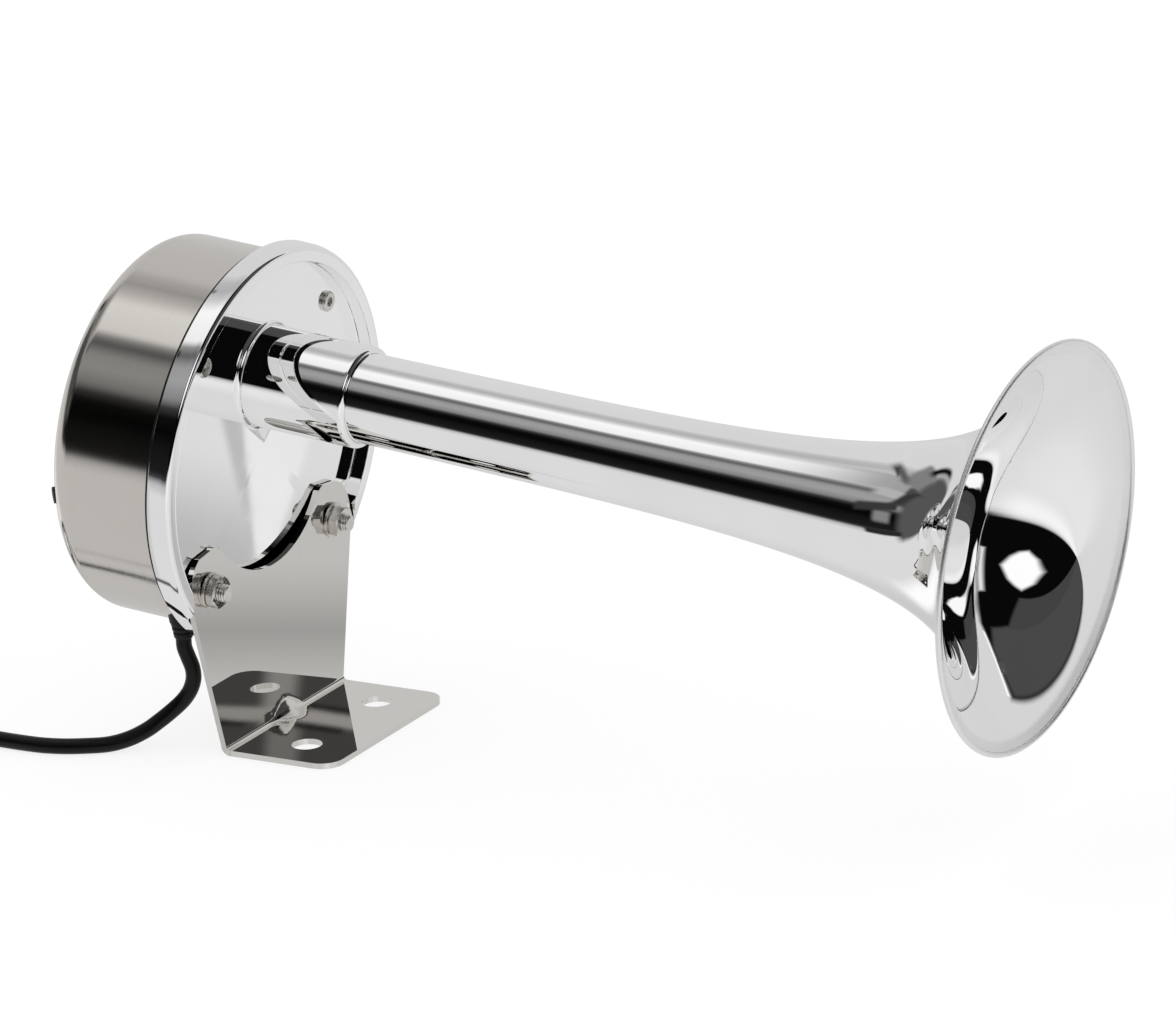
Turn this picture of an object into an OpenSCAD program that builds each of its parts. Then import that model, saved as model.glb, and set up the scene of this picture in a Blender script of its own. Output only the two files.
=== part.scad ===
// Electric marine trumpet horn: a vibrating diaphragm and its motor in a drum, a chromed
// trumpet in front, an angle bracket to stand on and a short lead.
// World frame: +Z up, +X towards the bell, the foot's underside at z = 0 and the origin midway
// between the two foot holes. Most pieces are drawn in the horn frame: +X is the horn's own
// axis and its origin is the centre of the housing's front rim.

/* [Stance] */
// Height of the front rim's centre over the foot's underside
rim_z = 80; // [78:0.5:84]
// Distance of the front rim's centre behind the foot holes
rim_back = 15.3; // [15:0.1:15.6]
// Angle by which the horn points down towards the bell
pitch = 5.1; // [4.9:0.1:5.3]

/* [Front housing] */
// Radius of the chromed band at its rear edge
band_r = 56.4; // [56:0.2:57.4]
// Depth of the chromed band
band_len = 6.6; // [6.4:0.1:7]
// Radius of the recess in the front face
recess_r = 51.5; // [51.2:0.1:52.2]
// Depth of the recess
recess_depth = 4.2; // [4:0.1:4.3]
// Height of the trumpet's axis over the housing's axis
neck_z = 20; // [19:0.5:21]
// Outer radius of the neck sleeve
sleeve_r = 14.2; // [14.2:0.1:15]
// Length of the neck sleeve in front of the rim
sleeve_len = 29; // [24:1:34]

/* [Trumpet] */
// Distance from the rim to the mouth of the bell
bell_x = 233; // [220:1:245]
// Radius of the bell's mouth
bell_r = 55.2; // [52:0.2:58]
// Outer radius of the tube in the sleeve
tube_r = 12.4; // [12:0.1:12.4]
// Wall thickness of the trumpet
trumpet_wall = 0.9; // [0.7:0.1:1.2]

/* [Rear cover] */
// Radius of the drum
drum_r = 52.6; // [52.4:0.1:53]
// Distance from the rim to the crease of the drum
crease_x = 35; // [33:0.5:36]
// Distance from the rim to the back of the drum
back_x = 44.4; // [44:0.2:46]
// Radius of the screw circle
screw_circle_r = 45.2; // [45:0.1:45.4]

/* [Bracket] */
// Thickness of the bracket's sheet
sheet_t = 1.6; // [1.4:0.1:1.7]
// Angle by which the plate leans back from upright
lean = 1.2; // [0.9:0.1:1.4]
// Length of the foot in front of the bend
foot_len = 33.8; // [32:0.2:36]
// Width of the foot
foot_w = 62; // [60:1:66]
// Spacing of the two foot holes
foot_hole_gap = 37; // [34:1:42]
// Diameter of the foot holes
foot_hole_d = 8.6; // [6:0.2:9]

/* [Diaphragm and motor] */
// Thickness of the diaphragm
diaphragm_t = 0.4; // [0.4:0.05:0.5]
// Air gap between the armature and the pole
air_gap = 0.8; // [0.7:0.1:1]
// Outer radius of the motor case
case_r = 40; // [38:0.5:40]

/* [Lead] */
// Diameter of the lead
lead_d = 4.4; // [4.2:0.1:4.6]
// Turns of the stored coil
coil_turns = 2; // [2:1:2]
// Mean radius of the stored coil
coil_mean_r = 25.5; // [24:0.5:26]
// Distance between neighbouring turns
coil_step = 5.9; // [5.8:0.1:6.2]

/* [Hidden] */
$fn = 96;
small_fn = 48;
cut = 0.1;

// Horn frame, front to back
face_x = -recess_depth;
seam_x = -band_len;
gasket_seam_t = 1;
seam_gasket_r = band_r - 1;
drum_front_x = seam_x - gasket_seam_t;
drum_wall = 0.9;
spigot_x = -17;
spigot_r = drum_r - drum_wall;
spigot_in_r = 50.2;
stack_r = 49.4;
seat_x = -9;
pocket_x = -7.5;
pocket_r = 41.9;
nut_pocket_x = -6;
nut_pocket_r = 7;
gasket_t = 0.6;
gasket_in_r = 42;
dia_front_x = seat_x - gasket_t;
dia_back_x = dia_front_x - diaphragm_t;
flange_front_x = dia_back_x - gasket_t;
case_wall = 1.5;
case_in_x = -31.5;
case_back_x = case_in_x - case_wall;
shoulder_h = 16.8;

// Throat and neck
throat_r = 7;
throat_end_x = 0.5;
sleeve_bore_r = tube_r + 0.03;
tube_start_x = 1.6;
lip_r = 1.3;
lip_set_back = 0.4;

// Flare of the bell: two exponential parts over a slightly tapered tube
flare_long = 34;
flare_short = 8.4;
flare_share = 0.4;
tube_taper = 0.003;
function tube_line(x) = tube_r + tube_taper * (x - sleeve_len);
function flare_rise(x) = (1 - flare_share) * exp((x - bell_x) / flare_long)
                         + flare_share * exp((x - bell_x) / flare_short);
function flare_part(x) = (flare_rise(x) - flare_rise(sleeve_len)) / (1 - flare_rise(sleeve_len));
function flare_r(x) = tube_line(x) + (bell_r - tube_line(bell_x)) * flare_part(x);
flare_stations = concat([sleeve_len], [for (x = [60:20:140]) x], [for (x = [150:10:200]) x],
                        [for (x = [205:4:221]) x], [for (i = [1:6]) 221 + i * (bell_x - 221) / 6]);

// Fasteners
m5_r = 2.5;
m4_r = 2;
screw_head_r = 2.9;
bolt_clear_r = 2.7;
screw_y = screw_circle_r / sqrt(2);
nut_corner_r = 4.6;
nut_h = 3;
nut_flat_r = 4.1;
nut_chamfer = 0.6;
bolt_tip_x = 4.8;
tip_chamfer = 0.5;
spacer_r = 6;
washer_r = 5;
washer_front_x = -0.2;

// Bracket, in the world frame
bend_x = -rim_back - 3;
hole_y = foot_hole_gap / 2;
foot_round = 6;
bend_in_r = 1.2;
ear_y = 31.5;
ear_z = 49.6;
ear_r = 9.8;
arch_z = 77.4;
arch_r = 32;
shoulder_y = 41;
shoulder_z = 44;
relief_gap = 0.3;

// Motor and breaker, in the horn frame
armature_t = 3;
armature_r = 17;
ridge_r = [30, 32, 34, 36];
ridge_h = 0.5;
plunger_front_x = nut_pocket_x - 0.7;
plunger_nut_r = 4;
plunger_nut_h = 2.2;
bobbin_r = 26;
bobbin_in_r = 10;
bobbin_wall = 1.2;
winding_r = 24.5;
pole_x = dia_back_x - armature_t - air_gap;
pole_r = 8;
plunger_r = 2;
plunger_bore_r = 2.08;
base_t = 1.2;
base_back_x = case_back_x - base_t;
fixed_x = -36.5;
arm_x = -39.1;
strip_t = 0.5;
tip_len = 1;
tip_gap = 0.1;
plunger_end_x = arm_x + strip_t + tip_gap + tip_len;
pivot_y = 18;
block_w = 5;
block_h = 12;
base_h = 14;
base_y = [-22, 24];
rivet_r = 1;
rivet_head_r = 1.8;
rivet_head_h = 0.8;
arm_end_y = -13.5;
fixed_end_y = -21;
leaf_gap = 0.3;
leaf_w = 8;
rivet_y = pivot_y + 2;
rivet_z = 4;
contact_y = -11;
contact_r = 2;
contact_gap = 0.32;
tone_y = -17;
tone_shank_r = 1.5;
tone_head_r = 2.7;
tone_head_h = 1.9;
collar_t = 1;
collar_gap = 0.06;

// Lead, in the world frame: the points that its centre line goes through, from the grommet
// down to the surface, out of the photographed view and into the coil
lead_r = lead_d / 2;
grommet_at = [-32, -27.5];
grommet_low_z = 31.5;
lead_y = -48;
lead_route = [[grommet_at[0], grommet_at[1], grommet_low_z], [grommet_at[0], grommet_at[1], 28.8],
              [-31.4, -26.9, 25.8], [-30.6, -26.3, 22.4], [-30.8, -25.9, 19], [-32.1, -26, 15.6],
              [-34.3, -26.6, 12.5], [-37.2, -28, 9.6], [-40.1, -30.1, 7], [-43, -32.8, 4.7],
              [-46.5, -36.6, 3], [-50.6, -40.4, lead_r], [-55.6, -43.8, lead_r],
              [-61.2, -46.4, lead_r], [-67.2, -47.9, lead_r], [-74, lead_y - 0.3, lead_r],
              [-81, lead_y - 0.2, lead_r], [-90, lead_y, lead_r], [-100, lead_y, lead_r],
              [-112, lead_y, lead_r], [-124, lead_y, lead_r], [-136, lead_y, lead_r],
              [-146, lead_y, lead_r]];
coil_start_r = coil_mean_r + coil_turns * coil_step / 2;
coil_start_x = -152;
coil_centre = [coil_start_x, lead_y + coil_start_r, 0];
coil_rings = 24;
coil_sides = 6;
end_rings = 4;
end_bend_r = 11;
grommet_top_z = 37.6;
grommet_r = 3.55;
grommet_cone_h = 10.5;
grommet_cone_r = 4.4;
grommet_lip = 0.4;
lead_hole_h = 16.5;
tail_len = 10;
tail_r = 1;
tail_gap = 2.4;
inner_lead_r = 0.9;

// Places a piece of the horn frame in the world frame
module horn() {
    translate([-rim_back, 0, rim_z]) rotate([0, pitch, 0]) children();
}

// Turns [x, r] points about the horn's axis
module turned(points) {
    rotate([0, 90, 0]) rotate_extrude() polygon([for (p = points) [p[1], p[0]]]);
}

function reversed(list) = [for (i = [len(list) - 1:-1:0]) list[i]];

// A round bar along +X from x0 to x1
module bar(x0, x1, r, y = 0, z = 0) {
    translate([x0, y, z]) rotate([0, 90, 0]) cylinder(h = x1 - x0, r = r);
}

// A cone along +X
module cone_bar(x0, x1, r0, r1, y = 0, z = 0) {
    translate([x0, y, z]) rotate([0, 90, 0]) cylinder(h = x1 - x0, r1 = r0, r2 = r1);
}

// A ring along +X
module ring(x0, x1, r_out, r_in, y = 0, z = 0) {
    difference() {
        bar(x0, x1, r_out, y, z);
        bar(x0 - cut, x1 + cut, r_in, y, z);
    }
}

// A hexagon along +X
module hex_bar(x0, x1, r, y = 0, z = 0) {
    translate([x0, y, z]) rotate([0, 90, 0]) rotate([0, 0, 30]) cylinder(h = x1 - x0, r = r, $fn = 6);
}

// Holes for the screws and bolts of the flange
module screw_holes(x0, x1, r) {
    for (y = [-screw_y, screw_y], z = [-screw_y, screw_y]) bar(x0, x1, r, y, z);
}

// Leans an upright plate back about the centre of its bend
bend_at = [bend_x + bend_in_r, 0, bend_in_r + sheet_t];
module leaned() {
    translate(bend_at) rotate([0, -lean, 0]) translate(-bend_at) children();
}

// The spaces behind and in front of the plate
module behind_plate() {
    leaned() translate([bend_x - sheet_t - 60, -60, 0]) cube([60, 120, 120]);
}
module in_front_of_plate() {
    leaned() translate([bend_x, -60, 0]) cube([60, 120, 120]);
}

// Band, mirror face, neck sleeve and throat in one casting
module front_housing() {
    color([0.86, 0.87, 0.88]) difference() {
        horn() difference() {
            union() {
                turned([[0, recess_r + 0.3], [0, band_r - 1.5], [-0.3, band_r - 0.9],
                        [-1.1, band_r - 0.4], [seam_x, band_r], [seam_x, spigot_r],
                        [spigot_x, spigot_r], [spigot_x, spigot_in_r], [seat_x, spigot_in_r],
                        [seat_x, pocket_r], [pocket_x, pocket_r], [pocket_x, 0], [face_x, 0],
                        [face_x, recess_r - 0.2], [face_x + 0.2, recess_r], [-0.3, recess_r]]);
                translate([0, 0, neck_z])
                    turned([[pocket_x, 0], [pocket_x, sleeve_r], [face_x, sleeve_r + 1.2],
                            [face_x + 0.4, sleeve_r + 0.5], [face_x + 1.2, sleeve_r],
                            [sleeve_len - 2, sleeve_r], [sleeve_len - 1, sleeve_r - 0.25],
                            [sleeve_len - 0.2, sleeve_r - 0.9], [sleeve_len, tube_r + 0.2],
                            [sleeve_len, 0]]);
            }
            bar(pocket_x - cut, throat_end_x + cut, throat_r, 0, neck_z);
            bar(throat_end_x, sleeve_len + cut, sleeve_bore_r, 0, neck_z);
            bar(pocket_x - cut, nut_pocket_x, nut_pocket_r);
            screw_holes(seat_x - cut, face_x + cut, bolt_clear_r);
        }
        leaned() translate([bend_x - sheet_t - relief_gap, -shoulder_y - 1, 20])
            cube([20, 2 * shoulder_y + 2, 30]);
        lead_hole();
    }
}

// Way of the lead through the drum and the housing's spigot
module lead_hole() {
    translate([grommet_at[0], grommet_at[1], grommet_low_z])
        cylinder(h = lead_hole_h, r = grommet_r + 0.05);
}

// Trumpet: tapered tube, flare and rolled lip
module trumpet() {
    color([0.86, 0.87, 0.88]) horn() translate([0, 0, neck_z]) union() {
        turned(concat([[tube_start_x, tube_r]],
                      [for (x = flare_stations) [x, flare_r(x)]],
                      [for (i = [len(flare_stations) - 1:-1:0])
                          [flare_stations[i], flare_r(flare_stations[i]) - trumpet_wall]],
                      [[tube_start_x, tube_r - trumpet_wall]]));
        rotate([0, 90, 0]) translate([0, 0, bell_x - lip_set_back]) rotate_extrude()
            translate([bell_r - lip_r / 2, 0]) circle(r = lip_r, $fn = small_fn);
    }
}

// Rubber ring between the trumpet's end and the throat
module throat_seal() {
    color([0.08, 0.08, 0.08]) horn()
        ring(throat_end_x, tube_start_x, tube_r - 0.1, throat_r + 0.3, 0, neck_z);
}

// Black ring in the seam between the band and the drum
module seam_gasket() {
    color([0.08, 0.08, 0.08]) horn() ring(drum_front_x, seam_x, seam_gasket_r, spigot_r + 0.05);
}

shoulder_steps = 8;
function shoulder(i, inset) =
    let (a = 90 * i / shoulder_steps, dx = back_x - crease_x - inset, h = shoulder_h - inset)
    [-crease_x - dx * sin(a), drum_r - inset - h * (1 - cos(a))];

// The drum's outer solid, which the cover and the pieces on it are cut with
module drum_solid(inset) {
    turned(concat([[drum_front_x, 0], [drum_front_x, drum_r - inset]],
                  [for (i = [0:shoulder_steps]) shoulder(i, inset)],
                  [[-back_x + inset, 0]]));
}

plug_angle = 190;
plug_at_r = 47;
plug_at_x = -41.6;
plug_tilt = 138;
plug_bore_r = 1.6;
plug_head_r = 2.3;
module on_shoulder() {
    translate([plug_at_x, plug_at_r * cos(plug_angle), plug_at_r * sin(plug_angle)])
        rotate([plug_angle, 0, 0]) rotate([0, 0, plug_tilt]) children();
}

// Brushed drum with a creased, domed back
module rear_cover() {
    color([0.62, 0.6, 0.57]) difference() {
        horn() difference() {
            drum_solid(0);
            difference() {
                drum_solid(drum_wall);
                bar(drum_front_x - 0.001, 0, 60);
            }
            bar(drum_front_x - cut, 0, drum_r - drum_wall);
            on_shoulder() bar(-6, 6, plug_bore_r);
        }
        lead_hole();
    }
}

// Rubber plug of the drain hole in the shoulder
module drain_plug() {
    color([0.08, 0.08, 0.08]) horn() union() {
        on_shoulder() bar(-2.4, 0.9, plug_bore_r - 0.05);
        difference() {
            on_shoulder() bar(-1, 1.1, plug_head_r);
            drum_solid(-0.02);
        }
    }
}

// Gaskets on both sides of the diaphragm
module front_gasket() {
    color([0.15, 0.14, 0.13]) horn() difference() {
        ring(dia_front_x, seat_x, stack_r, gasket_in_r);
        screw_holes(dia_front_x - cut, seat_x + cut, bolt_clear_r);
    }
}
module rear_gasket() {
    color([0.15, 0.14, 0.13]) horn() difference() {
        ring(flange_front_x, dia_back_x, stack_r, gasket_in_r);
        screw_holes(flange_front_x - cut, dia_back_x + cut, bolt_clear_r);
    }
}

// Clamped rim of the spring steel diaphragm
module diaphragm_rim() {
    color([0.45, 0.47, 0.5]) horn() difference() {
        ring(dia_back_x, dia_front_x, stack_r, gasket_in_r - 0.4);
        screw_holes(dia_back_x - cut, dia_front_x + cut, bolt_clear_r);
    }
}

// Moving centre of the diaphragm, with one corrugation
dia_r = gasket_in_r - 0.6;
function ridge(x) = [for (i = [0:3]) [x + (i == 1 || i == 2 ? ridge_h : 0), ridge_r[i]]];
module diaphragm() {
    color([0.5, 0.52, 0.55]) horn()
        turned(concat([[dia_front_x, plunger_r]], ridge(dia_front_x),
                      [[dia_front_x, dia_r], [dia_back_x, dia_r]], reversed(ridge(dia_back_x)),
                      [[dia_back_x, plunger_r]]));
}

// Iron disc that the magnet pulls
module armature() {
    color([0.4, 0.4, 0.42]) horn()
        ring(dia_back_x - armature_t, dia_back_x, armature_r, plunger_r);
}

// Rod that joins the diaphragm, the armature and the breaker
module plunger() {
    color([0.6, 0.6, 0.62]) horn() bar(plunger_end_x, plunger_front_x, plunger_r);
}
module plunger_nut() {
    color([0.72, 0.6, 0.3]) horn() difference() {
        hex_bar(dia_front_x, dia_front_x + plunger_nut_h, plunger_nut_r);
        bar(dia_front_x - cut, dia_front_x + plunger_nut_h + cut, plunger_r);
    }
}

// Insulating cap that touches the contact arm
module plunger_tip() {
    color([0.45, 0.28, 0.16]) horn()
        bar(plunger_end_x - tip_len, plunger_end_x, plunger_r - 0.1);
}

// Steel cup that carries the coil and closes the magnet's circuit
module motor_case() {
    color([0.35, 0.36, 0.38]) horn() difference() {
        turned([[flange_front_x, case_r - case_wall], [flange_front_x, stack_r],
                [flange_front_x - case_wall, stack_r], [flange_front_x - case_wall, case_r],
                [case_back_x, case_r], [case_back_x, plunger_bore_r + 0.6],
                [case_in_x, plunger_bore_r + 0.6], [case_in_x, case_r - case_wall]]);
        screw_holes(flange_front_x - case_wall - cut, flange_front_x + cut, bolt_clear_r);
        bar(case_back_x - cut, case_in_x + cut, tone_shank_r + 0.6, tone_y, 0);
    }
}
module pole_core() {
    color([0.4, 0.4, 0.42]) horn() ring(case_in_x, pole_x, pole_r, plunger_bore_r);
}
bobbin_front_x = pole_x - 0.8;
module coil_bobbin() {
    color([0.12, 0.12, 0.12]) horn()
        turned([[bobbin_front_x, pole_r + 0.05], [bobbin_front_x, bobbin_r],
                [bobbin_front_x - bobbin_wall, bobbin_r], [bobbin_front_x - bobbin_wall, bobbin_in_r],
                [case_in_x + bobbin_wall, bobbin_in_r], [case_in_x + bobbin_wall, bobbin_r],
                [case_in_x, bobbin_r], [case_in_x, pole_r + 0.05]]);
}
module coil_winding() {
    color([0.72, 0.4, 0.2]) horn()
        ring(case_in_x + bobbin_wall, bobbin_front_x - bobbin_wall, winding_r, bobbin_in_r);
}

// The two upper screws and their nuts
bolt_head_x = flange_front_x - case_wall;
bolt_head_h = 3;
flange_nut_h = 3;
flange_nut_r = 4;
head_rim_h = 0.5;
head_h = 1.1;
module flange_screws() {
    color([0.75, 0.75, 0.76]) horn() for (y = [-screw_y, screw_y]) {
        bar(bolt_head_x - flange_nut_h - 0.8, face_x, m4_r, y, screw_y);
        bar(face_x, face_x + head_rim_h, screw_head_r, y, screw_y);
        cone_bar(face_x + head_rim_h, face_x + head_h, screw_head_r, screw_head_r - 0.8, y, screw_y);
    }
}
module flange_nuts() {
    color([0.7, 0.7, 0.7]) horn() for (y = [-screw_y, screw_y]) difference() {
        hex_bar(bolt_head_x - flange_nut_h, bolt_head_x, flange_nut_r, y, screw_y);
        bar(bolt_head_x - flange_nut_h - cut, bolt_head_x + cut, m4_r, y, screw_y);
    }
}

// The two lower bolts clamp the stack and carry the bracket
module bracket_bolts() {
    color([0.75, 0.75, 0.76]) horn() for (y = [-screw_y, screw_y]) {
        bar(bolt_head_x - 1, bolt_tip_x - tip_chamfer, m5_r, y, -screw_y);
        cone_bar(bolt_tip_x - tip_chamfer, bolt_tip_x, m5_r, m5_r - tip_chamfer, y, -screw_y);
        hex_bar(bolt_head_x - bolt_head_h, bolt_head_x, nut_corner_r, y, -screw_y);
    }
}

// Rubber spacers between the mirror face and the plate, and tapered washers in front
module bracket_spacers() {
    color([0.08, 0.08, 0.08]) intersection() {
        horn() for (y = [-screw_y, screw_y]) ring(face_x, 1, spacer_r, m5_r + 0.05, y, -screw_y);
        behind_plate();
    }
}
module bracket_washers() {
    color([0.8, 0.8, 0.8]) intersection() {
        horn() for (y = [-screw_y, screw_y])
            ring(-3, washer_front_x, washer_r, m5_r + 0.05, y, -screw_y);
        in_front_of_plate();
    }
}
nut_low_x = washer_front_x + nut_chamfer;
nut_high_x = washer_front_x + nut_h - nut_chamfer;
module bracket_nuts() {
    color([0.8, 0.8, 0.8]) horn() for (y = [-screw_y, screw_y]) difference() {
        intersection() {
            hex_bar(washer_front_x, washer_front_x + nut_h, nut_corner_r, y, -screw_y);
            union() {
                cone_bar(washer_front_x, nut_low_x, nut_flat_r, nut_corner_r, y, -screw_y);
                bar(nut_low_x, nut_high_x, nut_corner_r, y, -screw_y);
                cone_bar(nut_high_x, washer_front_x + nut_h, nut_corner_r, nut_flat_r, y, -screw_y);
            }
        }
        bar(washer_front_x - cut, washer_front_x + nut_h + cut, m5_r, y, -screw_y);
    }
}

// Angle bracket: plate with two ears, a bend with a pressed gusset, and the foot
module blank_outline() {
    half = foot_w / 2;
    low = bend_in_r + sheet_t;
    difference() {
        union() {
            polygon([[-half, -1], [half, -1], [half, low], [shoulder_y, shoulder_z],
                     [shoulder_y + 0.3, ear_z], [ear_y + 2, ear_z + 3], [-ear_y - 2, ear_z + 3],
                     [-shoulder_y - 0.3, ear_z], [-shoulder_y, shoulder_z], [-half, low]]);
            for (s = [-1, 1]) {
                translate([s * ear_y, ear_z]) circle(r = ear_r);
                translate([s * (ear_y - 3), ear_z + ear_r - 3]) circle(r = 3);
            }
        }
        translate([0, arch_z]) circle(r = arch_r);
    }
}
plate_top_z = ear_z + ear_r + 1;
bend_steps = 6;
function bend_arc(r) = [for (i = [0:bend_steps])
    let (a = 270 - (90 - lean) * i / bend_steps)
    [bend_at[0] + r * cos(a), bend_at[2] + r * sin(a)]];
function up_plate(p) = p + (plate_top_z - p[1]) * [-tan(lean), 1];
outer_arc = bend_arc(bend_in_r + sheet_t);
inner_arc = bend_arc(bend_in_r);
bracket_section = concat([[bend_x + foot_len, sheet_t], [bend_x + foot_len, 0]], outer_arc,
                         [up_plate(outer_arc[bend_steps]), up_plate(inner_arc[bend_steps])],
                         reversed(inner_arc));
gusset_w = 8.5;
gusset_leg = 5;
module gusset() {
    translate([bend_x - 0.5, 0, sheet_t - 0.5]) intersection() {
        rotate([0, 45, 0]) rotate([90, 0, 90]) linear_extrude(4 * gusset_leg, center = true)
            polygon([[-gusset_w, 0], [gusset_w, 0], [0, gusset_leg / sqrt(2)]]);
        translate([0, -gusset_w, 0]) cube([2 * gusset_leg, 2 * gusset_w, 2 * gusset_leg]);
    }
}
module bracket() {
    width = 2 * shoulder_y + 10;
    color([0.72, 0.71, 0.69]) difference() {
        union() {
            intersection() {
                rotate([90, 0, 0]) linear_extrude(width, center = true) polygon(bracket_section);
                translate([bend_x - 20, 0, 0]) rotate([90, 0, 90])
                    linear_extrude(foot_len + 30) blank_outline();
            }
            gusset();
        }
        for (s = [0, 1]) mirror([0, s, 0]) translate([bend_x + foot_len, -foot_w / 2, -1])
            linear_extrude(sheet_t + 2) corner_cut();
        for (s = [-1, 1]) translate([0, s * hole_y, -1])
            cylinder(h = sheet_t + 2, d = foot_hole_d);
        horn() for (y = [-screw_y, screw_y]) bar(-8, 6, m5_r + 0.5, y, -screw_y);
    }
}

// What a rounded corner of the foot loses
module corner_cut() {
    difference() {
        translate([-foot_round, -1]) square([foot_round + 1, foot_round + 1]);
        translate([-foot_round, foot_round]) circle(r = foot_round);
    }
}

// Contact breaker behind the motor case
module rivet_holes(x0, x1) {
    for (s = [-1, 1]) bar(x0 - cut, x1 + cut, rivet_r, rivet_y, s * rivet_z);
}
module breaker_base() {
    color([0.6, 0.6, 0.6]) horn() difference() {
        translate([base_back_x, base_y[0], -base_h / 2]) cube([base_t, base_y[1] - base_y[0], base_h]);
        bar(base_back_x - cut, case_back_x + cut, plunger_bore_r + 1);
        bar(base_back_x - cut, case_back_x + cut, tone_shank_r + 0.05, tone_y, 0);
        rivet_holes(base_back_x, case_back_x);
    }
}

// Blocks that hold the leaves, and the leaves' clamped ends
module clamp_block(x0, x1) {
    difference() {
        translate([x0, pivot_y, -block_h / 2]) cube([x1 - x0, block_w, block_h]);
        rivet_holes(x0, x1);
    }
}
module breaker_insulators() {
    color([0.4, 0.22, 0.12]) horn() {
        clamp_block(fixed_x, base_back_x);
        clamp_block(arm_x + strip_t, fixed_x - strip_t);
    }
}
module leaf_roots() {
    color([0.75, 0.62, 0.35]) horn() {
        clamp_block(fixed_x - strip_t, fixed_x);
        clamp_block(arm_x, arm_x + strip_t);
    }
}
module breaker_rivets() {
    color([0.72, 0.6, 0.3]) horn() for (s = [-1, 1]) {
        bar(arm_x, case_back_x, rivet_r, rivet_y, s * rivet_z);
        bar(arm_x - rivet_head_h, arm_x, rivet_head_r, rivet_y, s * rivet_z);
    }
}

// The two leaves: each bends at its clamped end and has a contact near its free end
contact_h = (fixed_x - arm_x - 2 * strip_t - contact_gap) / 2;
module leaf(x, free_y) {
    translate([x, free_y, -leaf_w / 2]) cube([strip_t, pivot_y - leaf_gap - free_y, leaf_w]);
}
module contact_arm() {
    color([0.75, 0.62, 0.35]) horn() union() {
        leaf(arm_x, arm_end_y);
        bar(arm_x + strip_t, arm_x + strip_t + contact_h, contact_r, contact_y, 0);
    }
}
module fixed_contact_arm() {
    color([0.75, 0.62, 0.35]) horn() difference() {
        union() {
            leaf(fixed_x - strip_t, fixed_end_y);
            bar(fixed_x - strip_t - contact_h, fixed_x - strip_t, contact_r, contact_y, 0);
        }
        bar(fixed_x - strip_t - cut, fixed_x + cut, plunger_r + 1, 0, 0);
        bar(fixed_x - strip_t - cut, fixed_x + cut, tone_shank_r + 0.6, tone_y, 0);
    }
}

// Tone screw, with an insulating collar under its head
collar_x = fixed_x - strip_t - collar_gap - collar_t;
tone_head_x = collar_x - 0.05;
module tone_collar() {
    color([0.45, 0.28, 0.16]) horn()
        ring(collar_x, collar_x + collar_t, tone_head_r - 0.1, tone_shank_r + 0.05, tone_y, 0);
}
module tone_screw() {
    slot_w = 0.7;
    slot_h = 0.7;
    color([0.72, 0.6, 0.3]) horn() difference() {
        union() {
            bar(tone_head_x, case_in_x - 0.8, tone_shank_r, tone_y, 0);
            bar(tone_head_x - tone_head_h, tone_head_x, tone_head_r, tone_y, 0);
        }
        translate([tone_head_x - tone_head_h - 1, tone_y - slot_w / 2, -tone_head_r - 1])
            cube([1 + slot_h, slot_w, 2 * tone_head_r + 2]);
    }
}

// Capacitor across the contacts
module capacitor() {
    r = 4;
    body_len = 14;
    cap_len = 15.8;
    color([0.2, 0.3, 0.5]) horn() translate([case_back_x - r - 0.1, 0, 20]) rotate([90, 0, 0]) {
        cylinder(h = body_len, r = r, center = true);
        cylinder(h = cap_len, r = r - 0.8, center = true);
    }
}

// Sweeps a round section along a path
function unit(v) = v / norm(v);
function path_dir(p, i) =
    i == 0 ? unit(p[1] - p[0])
    : i == len(p) - 1 ? unit(p[i] - p[i - 1])
    : unit(unit(p[i + 1] - p[i]) + unit(p[i] - p[i - 1]));
function side_vec(d, ref) = unit(cross(d, ref));
function sweep_points(p, r, n, ref, turn) =
    [for (i = [0:len(p) - 1])
        let (d = path_dir(p, i), s = side_vec(d, ref), t = cross(s, d))
        for (k = [0:n - 1])
            p[i] + r * (cos(360 * k / n + turn) * s + sin(360 * k / n + turn) * t)];
function sweep_faces(m, n) =
    let (last = (m - 1) * n)
    concat([for (k = [1:n - 2]) [0, k + 1, k]],
           [for (i = [0:m - 2], k = [0:n - 1])
               [i * n + k, i * n + (k + 1) % n, (i + 1) * n + k]],
           [for (i = [0:m - 2], k = [0:n - 1])
               [i * n + (k + 1) % n, (i + 1) * n + (k + 1) % n, (i + 1) * n + k]],
           [for (k = [1:n - 2]) [last, last + k, last + k + 1]]);
module sweep(p, r, n, ref, turn = 0) {
    polyhedron(sweep_points(p, r, n, ref, turn), sweep_faces(len(p), n), convexity = 10);
}

// Insulated leads inside the drum, from the grommet to the coil and to the breaker
live_route = [[-14.5, -28.9, -43.4], [-14.6, -28.9, -41.5], [-16.2, -29.6, -38.4], [-20, -32, -35],
              [-25, -33.5, -33], [-30, -34, -31], [-34.5, -32, -27], [-36.8, -27, -20],
              [-36.6, -22, -12], [-35.4, -19.5, -8.6]];
return_route = [[-14.5, -26.1, -43.4], [-14.6, -26.1, -41.5], [-16, -25.4, -38.8],
                [-20, -24.5, -37.5], [-26, -22, -38.8], [-33, -18.2, -40.2], [-35.9, -11, -36.4],
                [-37, -5, -27], [-36.8, 0, -18], [-35.6, 2, -9.5]];
module inner_lead_live() {
    color([0.6, 0.1, 0.08]) horn() sweep(live_route, inner_lead_r, 8, [0.3, 0.5, 0.2]);
}
module inner_lead_return() {
    color([0.06, 0.06, 0.06]) horn() sweep(return_route, inner_lead_r, 8, [0.3, 0.5, 0.2]);
}

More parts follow.
